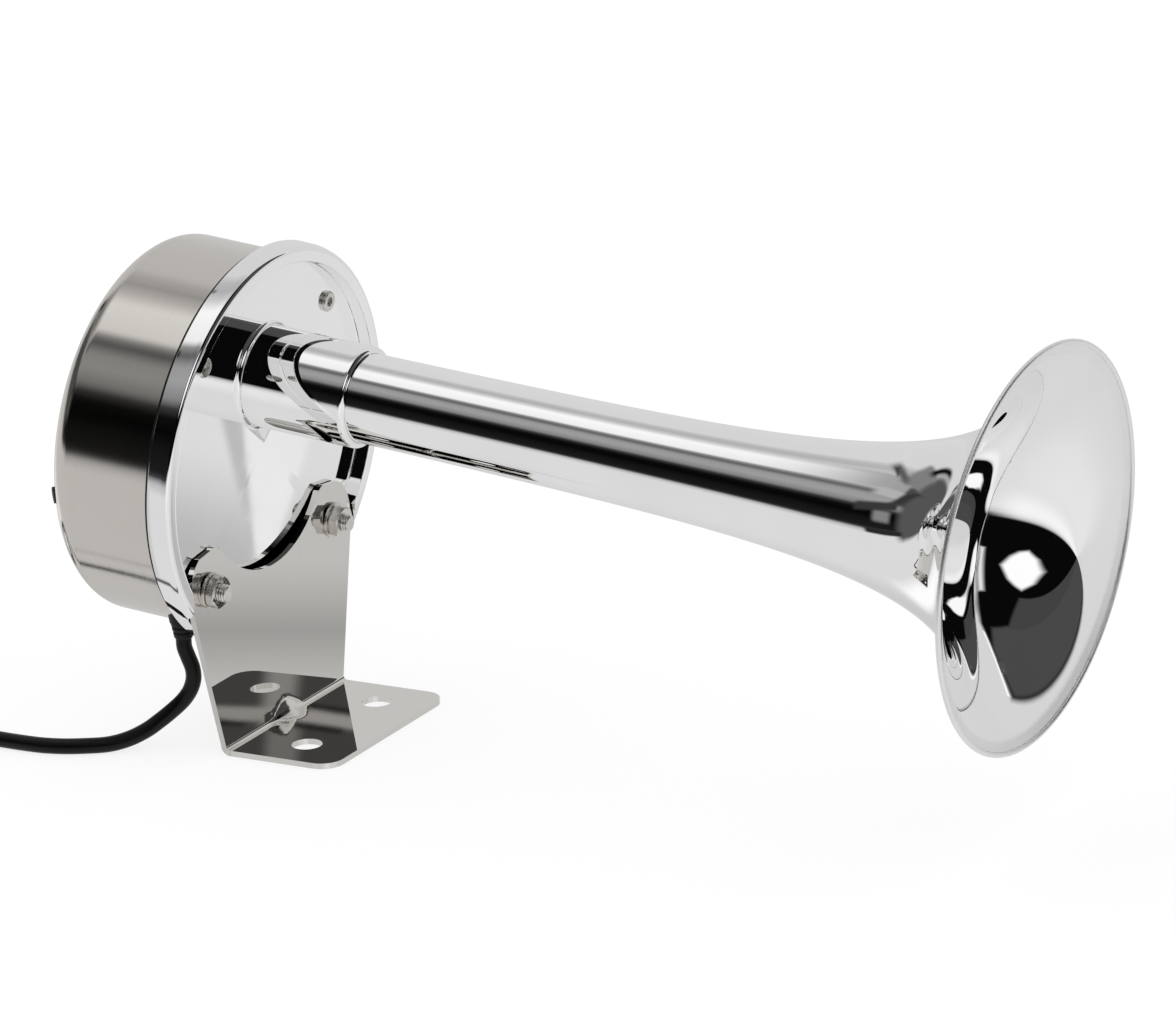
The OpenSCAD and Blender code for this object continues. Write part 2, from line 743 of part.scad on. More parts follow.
// Rubber grommet in the drum's underside, with its tapered strain relief
module cable_grommet() {
    color([0.06, 0.06, 0.06]) translate([grommet_at[0], grommet_at[1], 0]) union() {
        translate([0, 0, grommet_low_z + 3])
            cylinder(h = grommet_top_z - grommet_low_z - 3, r = grommet_r);
        difference() {
            translate([0, 0, grommet_low_z])
                cylinder(h = grommet_cone_h, r1 = lead_r + grommet_lip, r2 = grommet_cone_r);
            translate([-grommet_at[0], -grommet_at[1], 0]) horn() drum_solid(-0.04);
        }
    }
}

// The lead's free stretch, with its two ends square to what they meet
module cable() {
    color([0.05, 0.05, 0.05])
        sweep(lead_route, lead_r, 12, [0.3, 1, 0.2]);
}

// Two flat turns, wound inwards from the free stretch, with the end turned further in
coil_path = [for (i = [0:coil_turns * coil_rings])
                let (a = 270 - 360 * i / coil_rings, r = coil_start_r - coil_step * i / coil_rings)
                coil_centre + [r * cos(a), r * sin(a), lead_r]];
coil_tube_r = lead_r / cos(180 / coil_sides);
coil_end = coil_path[len(coil_path) - 1];
coil_inner = [for (i = [1:end_rings])
                 let (a = 270 - 360 * i / coil_rings)
                 coil_end + end_bend_r * [cos(a), 1 + sin(a), 0]];
coil_end_dir = unit(coil_inner[end_rings - 1] - coil_inner[end_rings - 2]);
coil_full = concat([lead_route[len(lead_route) - 1]], coil_path, coil_inner,
                   [coil_inner[end_rings - 1] + lead_d * coil_end_dir]);
module cable_coil() {
    color([0.05, 0.05, 0.05]) sweep(coil_full, coil_tube_r, coil_sides, [0, 0, 1], 0);
}
coil_gap = min([for (i = [0:coil_turns * coil_rings], j = [0:coil_turns * coil_rings])
                   if (abs(i - j) > coil_rings / 2) norm(coil_path[i] - coil_path[j])])
           - 2 * coil_tube_r;
echo(coil_least_gap = coil_gap);

// Bare cores at the lead's far end
tail_start = coil_full[len(coil_full) - 1];
tail_side = cross(coil_end_dir, [0, 0, 1]);
module cable_tails() {
    color([0.6, 0.35, 0.2]) for (s = [-tail_gap / 2, tail_gap / 2])
        sweep([tail_start + s * tail_side, tail_start + s * tail_side + tail_len * coil_end_dir],
              tail_r, 12, [0, 0, 1]);
}

front_housing();
trumpet();
throat_seal();
seam_gasket();
rear_cover();
drain_plug();
front_gasket();
rear_gasket();
diaphragm_rim();
diaphragm();
armature();
plunger();
plunger_nut();
plunger_tip();
motor_case();
pole_core();
coil_bobbin();
coil_winding();
flange_screws();
flange_nuts();
bracket_bolts();
bracket_spacers();
bracket_washers();
bracket_nuts();
bracket();
breaker_base();
breaker_insulators();
breaker_rivets();
leaf_roots();
contact_arm();
fixed_contact_arm();
tone_screw();
tone_collar();
capacitor();
inner_lead_live();
inner_lead_return();
cable_grommet();
cable();
cable_coil();
cable_tails();
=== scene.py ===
import math

import bmesh
import bpy
import numpy as np
from mathutils import Matrix, Vector
from mathutils.geometry import delaunay_2d_cdt


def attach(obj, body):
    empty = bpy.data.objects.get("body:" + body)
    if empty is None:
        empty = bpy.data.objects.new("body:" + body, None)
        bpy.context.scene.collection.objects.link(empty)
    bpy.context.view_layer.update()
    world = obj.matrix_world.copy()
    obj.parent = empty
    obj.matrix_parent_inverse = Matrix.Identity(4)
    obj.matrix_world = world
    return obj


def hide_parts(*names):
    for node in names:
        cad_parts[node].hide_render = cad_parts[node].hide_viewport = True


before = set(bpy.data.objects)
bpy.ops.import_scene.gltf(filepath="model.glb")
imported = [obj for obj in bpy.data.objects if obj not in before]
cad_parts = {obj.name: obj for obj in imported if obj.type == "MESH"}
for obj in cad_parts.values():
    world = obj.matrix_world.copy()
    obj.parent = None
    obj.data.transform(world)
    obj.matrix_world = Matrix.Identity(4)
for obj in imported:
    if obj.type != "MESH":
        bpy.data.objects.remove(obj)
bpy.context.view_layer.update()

# Sizes are in millimetres unless a name says otherwise, and MM turns them into metres.
MM = 0.001
BODY = "horn"

# The horn frame: +X is the horn's own axis and its origin the centre of the housing's front rim.
RIM_Z = 80.0
RIM_BACK = 15.3
PITCH = math.radians(5.1)
HORN = Matrix.Translation((-RIM_BACK * MM, 0, RIM_Z * MM)) @ Matrix.Rotation(PITCH, 4, "Y")

# Front housing, in the horn frame
BAND_R = 56.4
RIM_R = BAND_R - 2.0
RIM_ROUND = 1.6
EDGE_ROUND = 0.25
SEAM_X = -6.6
SPIGOT_R = 51.7
SPIGOT_WALL = 1.5
SPIGOT_END = -17.0
CLAMP_X = -9.0
CHAMBER_R = 42.5
RECESS_R = 51.5
RECESS_ROUND = 0.5
FACE_X = -4.2
FACE_BACK = -7.5
THROAT_R = 7.0
SCREW_HOLE_R = 2.7
NECK_Z = 20.0
NECK_ROOT = -6.0
NECK_ROUND = 1.5
SLEEVE_R = 14.2
SLEEVE_END = 29.0

# Trumpet, in the horn frame. Its flare is the sum of a slow and a fast exponential.
TUBE_R = 12.4
TUBE_START = 1.6
TUBE_TAPER = 0.003
TUBE_FIT = 0.03
TRUMPET_WALL = 0.9
BELL_X = 233.0
BELL_R = 55.2
SLOW_SHARE = 0.6
SLOW_LEN = 34.0
FAST_LEN = 8.4
LIP_R = 0.75
LIP_ROUGHNESS = 0.4
# Stations of the profile, closer together towards the bell: from, to and count
STATIONS = ((SLEEVE_END, 150.0, 40), (153.0, 205.0, 30), (206.5, BELL_X - 0.9, 34))

# Drum, in the horn frame
DRUM_R = 52.6
DRUM_FRONT = SEAM_X - 1.0
DRUM_WALL = 0.9
CREASE_X = -35.0
BACK_X = -44.4
BACK_FLAT_R = 20.0
SHOULDER_H = 16.8

# Bracket, in the world frame. BEND_TOP is where the upright plate starts, and BEND_RUN the
# length of the bend's inner face.
SHEET_T = 1.6
BEND_X = -RIM_BACK - 3.0
BEND_R = 1.2
LEAN = math.radians(1.2)
BEND_TOP = BEND_R + SHEET_T
BEND_RUN = BEND_R * (math.pi / 2 - LEAN)
FOOT_LEN = 33.8
FOOT_W = 62.0
FOOT_ROUND = 6.0
FOOT_HOLE_Y = 18.5
FOOT_HOLE_R = 4.3
EAR_Y, EAR_Z, EAR_R = 31.5, 49.6, 9.8
EAR_INNER_R = 3.0
ARCH_Z, ARCH_R = 77.4, 32.0
ARCH_START_Y = EAR_Y - 5.6
SHOULDER_Y, SHOULDER_Z = 41.0, 44.0
GUSSET_W = 8.5
GUSSET_LEG = 5.0
GUSSET_ROUND = 0.8
GUSSET_CREST = 1.8
GUSSET_ROUGHNESS = 0.2
# How far from the bend's middle the gusset's roughness starts to fade, and where it ends
GUSSET_FADE = (3.0, 6.5)
RELIEF_GAP = 0.3
RELIEF_DEPTH = 20.0
RELIEF_HALF_W = 42.0
RELIEF_LOW_Z, RELIEF_HIGH_Z = 20.0, 50.0

# Mesh of the bracket's blank: finer within FINE_REACH of the bend, for the gusset
GRID_LOW_H, GRID_HIGH_H = -32.0, 60.0
GRID_HALF_W = 41.25
OUTLINE_STEP = 0.3
COARSE_STEP = 1.5
FINE_STEP = 0.5
FINE_REACH = 9.0

# Fasteners, in the horn frame
SCREW_Y = 45.2 / math.sqrt(2)
M5_R = 2.5
THREAD_PITCH = 0.8
THREAD_DEPTH = 0.32
THREAD_START = -10.0
BOLT_TIP = 4.8
TIP_LEN = 0.5
TIP_TAPER = 0.45
BOLT_HEAD_BACK, BOLT_HEAD_FRONT = -15.1, -12.1
BOLT_CROSSING_X = -2.0
BOLT_HOLE_R = M5_R + 0.5
WASHER_BACK, WASHER_FRONT = -1.05, -0.2
WASHER_R = 5.0
NUT_H = 3.0
NUT_CORNER_R = 4.6
LEFT_NUT_TURN, RIGHT_NUT_TURN = 18, 49
SCREW_R = 2.0
SCREW_HEAD_R = 2.9
SCREW_HEAD_H = 1.1
SCREW_END = -16.0
KEY_CORNER_R = 1.5

# Lead and grommet, in the world frame
LEAD_R = 2.2
GROMMET_AT = (-32.0, -27.5)
GROMMET_LOW_Z = 31.5
GROMMET_NECK_Z, GROMMET_NECK_R = 36.2, 3.6
GROMMET_TOP_Z, GROMMET_TOP_R = 41.2, 4.2
GROMMET_RIBS = 3
RIB_STEP = 1.5
RIB_GROWTH = 0.28
LEAD_Y = -48.0
LEAD_ROUTE = [
    (*GROMMET_AT, GROMMET_LOW_Z), (*GROMMET_AT, 28.8), (-31.4, -26.9, 25.8), (-30.6, -26.3, 22.4),
    (-30.8, -25.9, 19), (-32.1, -26, 15.6), (-34.3, -26.6, 12.5), (-37.2, -28, 9.6),
    (-40.1, -30.1, 7), (-43, -32.8, 4.7), (-46.5, -36.6, 3), (-50.6, -40.4, LEAD_R),
    (-55.6, -43.8, LEAD_R), (-61.2, -46.4, LEAD_R), (-67.2, -47.9, LEAD_R),
    (-74, LEAD_Y - 0.3, LEAD_R), (-81, LEAD_Y - 0.2, LEAD_R), (-90, LEAD_Y, LEAD_R),
    (-100, LEAD_Y, LEAD_R), (-112, LEAD_Y, LEAD_R), (-124, LEAD_Y, LEAD_R),
    (-136, LEAD_Y, LEAD_R), (-146, LEAD_Y, LEAD_R),
]
COIL_START_X = -152.0
COIL_TURNS = 2
COIL_MEAN_R = 25.5
COIL_STEP = 5.9
END_BEND_R = 11.0

# Photograph's camera, in metres and degrees
CAMERA_AT = (1.2915, -2.0197, 0.8567)
CAMERA_AZIMUTH = 30.90
CAMERA_ELEVATION = 18.38
CAMERA_ROLL = -3.17
CAMERA_LENS = 282.46


def make_camera():
    azimuth, elevation = math.radians(CAMERA_AZIMUTH), math.radians(CAMERA_ELEVATION)
    back = Vector((math.sin(azimuth) * math.cos(elevation),
                   -math.cos(azimuth) * math.cos(elevation), math.sin(elevation)))
    data = bpy.data.cameras.new("camera")
    data.lens = CAMERA_LENS
    data.sensor_width = 36
    data.clip_start, data.clip_end = 0.05, 60
    camera = add_object("camera", data)
    turn = back.to_track_quat("Z", "Y").to_matrix().to_4x4()
    roll = Matrix.Rotation(math.radians(CAMERA_ROLL), 4, "Z")
    camera.matrix_world = Matrix.Translation(CAMERA_AT) @ turn @ roll
    bpy.context.scene.camera = camera


# Mesh helpers

def add_object(name, data, matrix=None):
    piece = bpy.data.objects.new(name, data)
    bpy.context.scene.collection.objects.link(piece)
    if matrix is not None:
        piece.matrix_world = matrix
    return piece


def add_mesh(name, points, faces, matrix=None):
    """A mesh object from points in millimetres, with its normals pointing outwards."""
    mesh = bpy.data.meshes.new(name)
    mesh.from_pydata([Vector(p) * MM for p in points], [], faces)
    shape = bmesh.new()
    shape.from_mesh(mesh)
    bmesh.ops.remove_doubles(shape, verts=shape.verts, dist=1e-7)
    bmesh.ops.recalc_face_normals(shape, faces=shape.faces)
    shape.to_mesh(mesh)
    shape.free()
    return add_object(name, mesh, matrix)


def apply_modifiers(piece):
    graph = bpy.context.evaluated_depsgraph_get()
    mesh = bpy.data.meshes.new_from_object(piece.evaluated_get(graph))
    piece.modifiers.clear()
    piece.data = mesh


def cut(piece, tool, operation="DIFFERENCE"):
    """Cuts the tool from the piece, or joins it on, and removes the tool."""
    boolean = piece.modifiers.new("cut", "BOOLEAN")
    boolean.operation = operation
    boolean.solver = "EXACT"
    boolean.object = tool
    apply_modifiers(piece)
    bpy.data.objects.remove(tool)
    return piece


def smooth(piece, angle=32):
    """Smooth shading with creases above the angle, and flat faces kept flat."""
    for face in piece.data.polygons:
        face.use_smooth = True
    piece.data.set_sharp_from_angle(angle=math.radians(angle))
    weighted = piece.modifiers.new("weighted", "WEIGHTED_NORMAL")
    weighted.mode = "FACE_AREA"
    weighted.keep_sharp = True
    return piece


def arc(u, v, r, start, end, steps=8):
    """Points on a circle round (u, v), with angles in degrees from the first axis on."""
    return [(u + r * math.cos(math.radians(a)), v + r * math.sin(math.radians(a)))
            for a in np.linspace(start, end, steps + 1)]


def circle(u, v, r, count):
    """The points of a whole circle, without the first one again at its end."""
    return arc(u, v, r, 0, 360 - 360 / count, count - 1)


def ring(x, r, y, z, segments, turn=0.0):
    """Points on a circle round a line along the horn's axis, with the turn in degrees."""
    angles = [math.radians(turn) + 2 * math.pi * k / segments for k in range(segments)]
    return [(x, y + r * math.sin(a), z + r * math.cos(a)) for a in angles]


def skin(rows, closed=False):
    """Faces between neighbouring rows of point numbers, each row a ring or one point repeated."""
    faces = []
    for low, high in zip(rows, rows[1:] + (rows[:1] if closed else [])):
        for k in range(len(low)):
            n = (k + 1) % len(low)
            corners = list(dict.fromkeys([low[k], low[n], high[n], high[k]]))
            if len(corners) > 2:
                faces.append(corners)
    return faces


def turned(name, profile, z=0.0, y=0.0, segments=192, closed=True):
    """A body turned from (x, r) points about the line along the horn's axis at y and z."""
    points, rows = [], []
    for x, r in profile:
        if r == 0:
            rows.append([len(points)] * segments)
            points.append((x, y, z))
        else:
            rows.append(list(range(len(points), len(points) + segments)))
            points += ring(x, r, y, z, segments)
    return add_mesh(name, points, skin(rows, closed), HORN)


def bar(name, x0, x1, r, y=0.0, z=0.0, segments=64):
    return turned(name, [(x0, 0), (x0, r), (x1, r), (x1, 0)], z, y, segments, closed=False)


def hexagon(name, x0, x1, corner_r, y, z, chamfer=0.5, turn=0.0):
    """A hexagonal prism along the horn's axis whose corners are turned off at both ends."""
    points = ring(x0, corner_r, y, z, 6, turn) + ring(x1, corner_r, y, z, 6, turn)
    low, high = list(range(6)), list(range(6, 12))
    piece = add_mesh(name, points, [low, high] + skin([low, high]), HORN)
    flat_r = corner_r * math.cos(math.radians(30))
    over_r = corner_r + 0.05
    cone = turned(name + "_cone", [(x0, 0), (x0, flat_r), (x0 + chamfer, over_r),
                                   (x1 - chamfer, over_r), (x1, flat_r), (x1, 0)],
                  z, y, segments=64, closed=False)
    return cut(piece, cone, "INTERSECT")


def join(pieces, name):
    """One mesh object from several that share the same frame."""
    base = pieces[0]
    shape = bmesh.new()
    for piece in pieces:
        part = bmesh.new()
        part.from_mesh(piece.data)
        part.transform(base.matrix_world.inverted() @ piece.matrix_world)
        mesh = bpy.data.meshes.new("part")
        part.to_mesh(mesh)
        part.free()
        shape.from_mesh(mesh)
        bpy.data.meshes.remove(mesh)
    for piece in pieces[1:]:
        bpy.data.objects.remove(piece)
    shape.to_mesh(base.data)
    shape.free()
    base.name = name
    return base


# Shader helpers

def set_inputs(tree, node, inputs):
    """Sets each input of the node to its value, or links it to the socket given instead."""
    for key, value in inputs.items():
        if isinstance(value, bpy.types.NodeSocket):
            tree.links.new(value, node.inputs[key])
        else:
            node.inputs[key].default_value = value


def add_node(tree, kind, inputs=None, **settings):
    node = tree.nodes.new(kind)
    for key, value in settings.items():
        setattr(node, key, value)
    set_inputs(tree, node, inputs or {})
    return node


def math_node(tree, operation, a, b=0.0, c=0.0):
    return add_node(tree, "ShaderNodeMath", {0: a, 1: b, 2: c}, operation=operation).outputs[0]


def map_range(tree, value, from_min, from_max, to_min, to_max):
    return add_node(tree, "ShaderNodeMapRange",
                    {"Value": value, "From Min": from_min, "From Max": from_max,
                     "To Min": to_min, "To Max": to_max}).outputs[0]


def ramp(tree, factor, stops):
    """A colour ramp from stops of a place and a colour, or of a place and a grey value."""
    node = add_node(tree, "ShaderNodeValToRGB", {0: factor})
    band = node.color_ramp
    while len(band.elements) < len(stops):
        band.elements.new(1.0)
    for i, (place, colour) in enumerate(stops):
        band.elements[i].position = place
        band.elements[i].color = (*colour, 1) if hasattr(colour, "__len__") else (colour,) * 3 + (1,)
    return node.outputs["Color"]


def noise(tree, vector, scale, detail=3.0, roughness=0.5):
    return add_node(tree, "ShaderNodeTexNoise",
                    {"Vector": vector, "Scale": scale, "Detail": detail,
                     "Roughness": roughness}).outputs["Fac"]


def bump(tree, height, strength, depth=0.0002):
    return add_node(tree, "ShaderNodeBump",
                    {"Height": height, "Strength": strength, "Distance": depth}).outputs[0]


def shade(tint, factor):
    return [c * factor for c in tint]


def new_material(name):
    """A new material, its tree, its Principled shader and the object's own coordinates."""
    made = bpy.data.materials.new(name)
    made.use_nodes = True
    tree = made.node_tree
    place = add_node(tree, "ShaderNodeTexCoord").outputs["Object"]
    return made, tree, tree.nodes["Principled BSDF"], place


# Materials

CHROME_TINT = (0.97, 0.97, 0.97)
# Repeats per metre of a brushed surface's lines, and of the fine grain of plain metal
LINES_ACROSS = 5200.0
LINES_ALONG = 60.0
METAL_GRAIN = 900.0


def lip_roughness(tree, place):
    """Roughness added on the trumpet's rolled lip, by distance along the horn's axis."""
    forward = HORN.to_3x3() @ Vector((1, 0, 0))
    ahead = add_node(tree, "ShaderNodeVectorMath", {0: place, 1: forward},
                     operation="DOT_PRODUCT").outputs["Value"]
    mouth = forward.dot(HORN @ Vector((BELL_X * MM, 0, 0)))
    return map_range(tree, ahead, mouth - 2 * LIP_R * MM, mouth - LIP_R * MM, 0.0, LIP_ROUGHNESS)


def gusset_roughness(tree, place):
    """Roughness added on the bracket's gusset, which fades away from the bend's middle."""
    middle = (BEND_X * MM, 0.0, SHEET_T * MM)
    away = add_node(tree, "ShaderNodeVectorMath", {0: place, 1: middle},
                    operation="DISTANCE").outputs["Value"]
    start, end = GUSSET_FADE
    return map_range(tree, away, start * MM, end * MM, GUSSET_ROUGHNESS, 0.0)


def chrome(name, lip=False):
    """Polished chrome with faint wipe marks, and on the trumpet a less polished rolled lip."""
    made, tree, shader, place = new_material(name)
    rough = ramp(tree, noise(tree, place, 90, 4), [(0.35, 0.004), (0.75, 0.02)])
    haze = ramp(tree, noise(tree, place, 24, 5),
                [(0.35, shade(CHROME_TINT, 0.955)), (0.7, CHROME_TINT)])
    if lip:
        rough = math_node(tree, "ADD", rough, lip_roughness(tree, place))
    set_inputs(tree, shader, {"Metallic": 1, "Base Color": haze, "Roughness": rough})
    return made


def brushed(name, tint, roughness, anisotropy, scratch, radial=True):
    """Satin steel with fine lines round the horn's axis, or along a bent sheet's length."""
    made, tree, shader, place = new_material(name)
    x, y, z = add_node(tree, "ShaderNodeSeparateXYZ", {0: place}).outputs
    if radial:
        square = math_node(tree, "ADD", math_node(tree, "MULTIPLY", y, y),
                           math_node(tree, "MULTIPLY", z, z))
        across = math_node(tree, "ADD", x, math_node(tree, "SQRT", square))
        along = (y, z)
    else:
        across = y
        along = (math_node(tree, "ADD", x, z), 0.0)
    lines = add_node(tree, "ShaderNodeCombineXYZ",
                     {0: math_node(tree, "MULTIPLY", across, LINES_ACROSS),
                      1: math_node(tree, "MULTIPLY", along[0], LINES_ALONG),
                      2: math_node(tree, "MULTIPLY", along[1], LINES_ALONG)})
    grain = noise(tree, lines.outputs[0], 1.0, 4, 0.6)
    # The mix node's sockets for colours come after those for numbers and vectors.
    colour = add_node(tree, "ShaderNodeMix",
                      {"Factor": grain, 6: (*shade(tint, 0.9), 1), 7: (*tint, 1)},
                      data_type="RGBA").outputs[2]
    rough = map_range(tree, noise(tree, place, 28, 3), 0.3, 0.7, roughness * 0.85, roughness * 1.15)
    if radial:
        tangent = add_node(tree, "ShaderNodeTangent", direction_type="RADIAL", axis="X")
        set_inputs(tree, shader, {"Tangent": tangent.outputs[0]})
    else:
        rough = math_node(tree, "ADD", rough, gusset_roughness(tree, place))
    set_inputs(tree, shader, {"Metallic": 1, "Anisotropic": anisotropy, "Anisotropic Rotation": 0.25,
                              "Base Color": colour, "Roughness": rough,
                              "Normal": bump(tree, grain, scratch)})
    return made


def plain_metal(name, tint, roughness):
    """Plated or turned metal with a fine mottled gloss."""
    made, tree, shader, place = new_material(name)
    grain = noise(tree, place, METAL_GRAIN, 4)
    colour = ramp(tree, grain, [(0.3, shade(tint, 0.85)), (0.7, tint)])
    rough = ramp(tree, noise(tree, place, METAL_GRAIN / 4, 3),
                 [(0.3, roughness * 0.7), (0.7, roughness * 1.3)])
    set_inputs(tree, shader, {"Metallic": 1, "Base Color": colour, "Roughness": rough,
                              "Normal": bump(tree, grain, 0.05)})
    return made


def moulded(name, tint, roughness, grain_scale=1400, bump_strength=0.12, gloss=0.5):
    """Rubber or plastic with a fine moulded grain and slightly uneven gloss."""
    made, tree, shader, place = new_material(name)
    grain = noise(tree, place, grain_scale, 5)
    colour = ramp(tree, noise(tree, place, 120, 3),
                  [(0.3, shade(tint, 0.8)), (0.7, shade(tint, 1.15))])
    rough = ramp(tree, noise(tree, place, 200, 3), [(0.3, roughness * 0.85), (0.7, roughness * 1.15)])
    set_inputs(tree, shader, {"Specular IOR Level": gloss, "Base Color": colour, "Roughness": rough,
                              "Normal": bump(tree, grain, bump_strength, 0.0001)})
    return made


def wound_wire(name):
    """Enamelled copper wire: fine turns round the horn's axis."""
    made, tree, shader, place = new_material(name)
    turns = add_node(tree, "ShaderNodeTexWave",
                     {"Vector": place, "Scale": 380, "Distortion": 0.4, "Detail": 1},
                     bands_direction="X").outputs["Fac"]
    colour = ramp(tree, turns, [(0.1, (0.28, 0.10, 0.03)), (0.7, (0.72, 0.33, 0.14))])
    set_inputs(tree, shader, {"Metallic": 0.8, "Roughness": 0.3, "Base Color": colour,
                              "Normal": bump(tree, turns, 0.6, 0.0003)})
    return made


CHROME = chrome("polished_chrome")
TRUMPET_CHROME = chrome("polished_chrome_trumpet", lip=True)
DRUM_STEEL = brushed("brushed_drum_steel", (0.70, 0.67, 0.63), 0.12, 0.85, 0.06)
BRACKET_STEEL = brushed("bracket_sheet_steel", (0.78, 0.76, 0.73), 0.006, 0.0, 0.0003, radial=False)
BRIGHT_STEEL = plain_metal("bright_fastener_steel", (0.80, 0.78, 0.74), 0.34)
SPRING_STEEL = plain_metal("blue_spring_steel", (0.46, 0.48, 0.52), 0.3)
SOFT_IRON = plain_metal("zinc_plated_iron", (0.50, 0.51, 0.53), 0.4)
BRASS = plain_metal("turned_brass", (0.80, 0.62, 0.30), 0.22)
BRONZE = plain_metal("spring_bronze_strip", (0.72, 0.52, 0.30), 0.28)
COPPER = plain_metal("bare_copper", (0.78, 0.42, 0.27), 0.3)
WIRE = wound_wire("enamelled_wire")
RUBBER = moulded("black_rubber_moulded", (0.006, 0.006, 0.006), 0.5, gloss=0.25)
SHEATH = moulded("cable_sheath_black", (0.003, 0.003, 0.003), 0.34, bump_strength=0.06, gloss=0.22)
GASKET = moulded("gasket_fibre", (0.05, 0.045, 0.04), 0.8, 700, 0.3)
BOBBIN = moulded("bobbin_nylon", (0.05, 0.05, 0.05), 0.45)
PHENOLIC = moulded("phenolic_brown", (0.22, 0.10, 0.045), 0.4)
CAPACITOR_BLUE = moulded("capacitor_case_blue", (0.06, 0.13, 0.35), 0.25)
RED_PVC = moulded("red_insulation", (0.45, 0.02, 0.015), 0.35)
BLACK_PVC = moulded("black_insulation", (0.01, 0.01, 0.01), 0.35)

# The CAD nodes that keep their own mesh and take only a material
NODE_MATERIALS = {
    "throat_seal": GASKET, "seam_gasket": RUBBER, "front_gasket": GASKET, "rear_gasket": GASKET,
    "diaphragm_rim": SPRING_STEEL, "diaphragm": SPRING_STEEL, "armature": SOFT_IRON,
    "plunger": BRIGHT_STEEL, "plunger_nut": BRASS, "plunger_tip": PHENOLIC,
    "motor_case": SOFT_IRON, "pole_core": SOFT_IRON, "coil_bobbin": BOBBIN,
    "coil_winding": WIRE, "flange_nuts": BRIGHT_STEEL, "breaker_base": BRIGHT_STEEL,
    "breaker_insulators": PHENOLIC, "breaker_rivets": BRASS, "leaf_roots": BRONZE,
    "contact_arm": BRONZE, "fixed_contact_arm": BRONZE, "tone_screw": BRASS,
    "tone_collar": PHENOLIC, "capacitor": CAPACITOR_BLUE, "inner_lead_live": RED_PVC,
    "inner_lead_return": BLACK_PVC, "bracket_spacers": RUBBER, "cable_tails": COPPER,
    "drain_plug": RUBBER,
}


def paint(piece, made):
    piece.data.materials.clear()
    piece.data.materials.append(made)


def dress_nodes():
    for name, made in NODE_MATERIALS.items():
        paint(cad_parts[name], made)


def dress(piece, made, slot, *nodes):
    """Gives a finished piece its material and its body, and hides the CAD nodes that it stands for.
    """
    paint(piece, made)
    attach(piece, BODY)
    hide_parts(*nodes)


# Trumpet

def flare_rise(x):
    return (SLOW_SHARE * math.exp((x - BELL_X) / SLOW_LEN)
            + (1 - SLOW_SHARE) * math.exp((x - BELL_X) / FAST_LEN))


def flare_r(x):
    """Outer radius of the trumpet: a plain tube in the sleeve, then taper and flare together."""
    if x <= SLEEVE_END:
        return TUBE_R
    end_r = TUBE_R + TUBE_TAPER * (BELL_X - SLEEVE_END)
    start = flare_rise(SLEEVE_END)
    part = (flare_rise(x) - start) / (1 - start)
    return TUBE_R + TUBE_TAPER * (x - SLEEVE_END) + (BELL_R - end_r) * part


def make_trumpet():
    stations = [TUBE_START] + [x for span in STATIONS for x in np.linspace(*span)]
    profile = [(x, flare_r(x)) for x in stations]
    profile += arc(BELL_X, BELL_R, LIP_R, 165, -95, 26)
    profile += [(x, flare_r(x) - TRUMPET_WALL) for x in reversed(stations)]
    piece = turned("trumpet_spun", profile, NECK_Z, segments=256)
    # The mesh takes the pitch itself, so that its own box fits it closely.
    piece.data.transform(HORN)
    piece.matrix_world = Matrix.Identity(4)
    dress(smooth(piece), TRUMPET_CHROME, "chromed_trumpet", "trumpet")


# Front housing

def casting_outline():
    """Half section of the housing without its neck, from the recess round the outside."""
    inner_r = SPIGOT_R - SPIGOT_WALL
    outline = [(0, RECESS_R + EDGE_ROUND), (0, RIM_R)]
    outline += arc(-RIM_ROUND, RIM_R, RIM_ROUND, 0, 75)
    outline += [(-2.4, BAND_R - 0.1), (SEAM_X + 0.3, BAND_R), (SEAM_X, BAND_R - 0.3)]
    outline += [(SEAM_X, SPIGOT_R), (SPIGOT_END, SPIGOT_R), (SPIGOT_END, inner_r)]
    outline += [(CLAMP_X, inner_r), (CLAMP_X, CHAMBER_R), (FACE_BACK, CHAMBER_R), (FACE_BACK, 0)]
    outline += [(FACE_X, 0), (FACE_X, RECESS_R - RECESS_ROUND)]
    outline += arc(FACE_X + RECESS_ROUND, RECESS_R - RECESS_ROUND, RECESS_ROUND, 180, 90, 5)[1:]
    outline += arc(-EDGE_ROUND, RECESS_R + EDGE_ROUND, EDGE_ROUND, 270, 360, 4)[:-1]
    return outline


def neck_outline():
    """Half section of the neck's sleeve, with a fillet at the face and a rounded end."""
    round_x = SLEEVE_END - 1.8
    outline = [(NECK_ROOT, 0), (NECK_ROOT, SLEEVE_R + 1.2)]
    outline += arc(FACE_X + NECK_ROUND - 0.05, SLEEVE_R + NECK_ROUND, NECK_ROUND, 182, 270)
    outline += arc(round_x, SLEEVE_R - NECK_ROUND, NECK_ROUND, 90, 5)
    outline += [(SLEEVE_END - 0.3, TUBE_R + 0.05), (SLEEVE_END - 0.6, TUBE_R + TUBE_FIT)]
    return outline + [(SLEEVE_END - 0.6, 0)]


def make_housing():
    piece = turned("housing_casting", casting_outline(), segments=256)
    cut(piece, turned("neck", neck_outline(), NECK_Z, segments=160, closed=False), "UNION")
    cut(piece, bar("throat", CLAMP_X, 1, THROAT_R, z=NECK_Z))
    cut(piece, bar("socket", 0.5, SLEEVE_END + 2, TUBE_R + TUBE_FIT, z=NECK_Z, segments=160))
    for y in (-SCREW_Y, SCREW_Y):
        for z in (-SCREW_Y, SCREW_Y):
            cut(piece, bar("hole", CLAMP_X - 3, FACE_X + 2.2, SCREW_HOLE_R, y, z))
    cut(piece, relief_block())
    dress(smooth(piece, 24), CHROME, "chromed_casting", "front_housing")


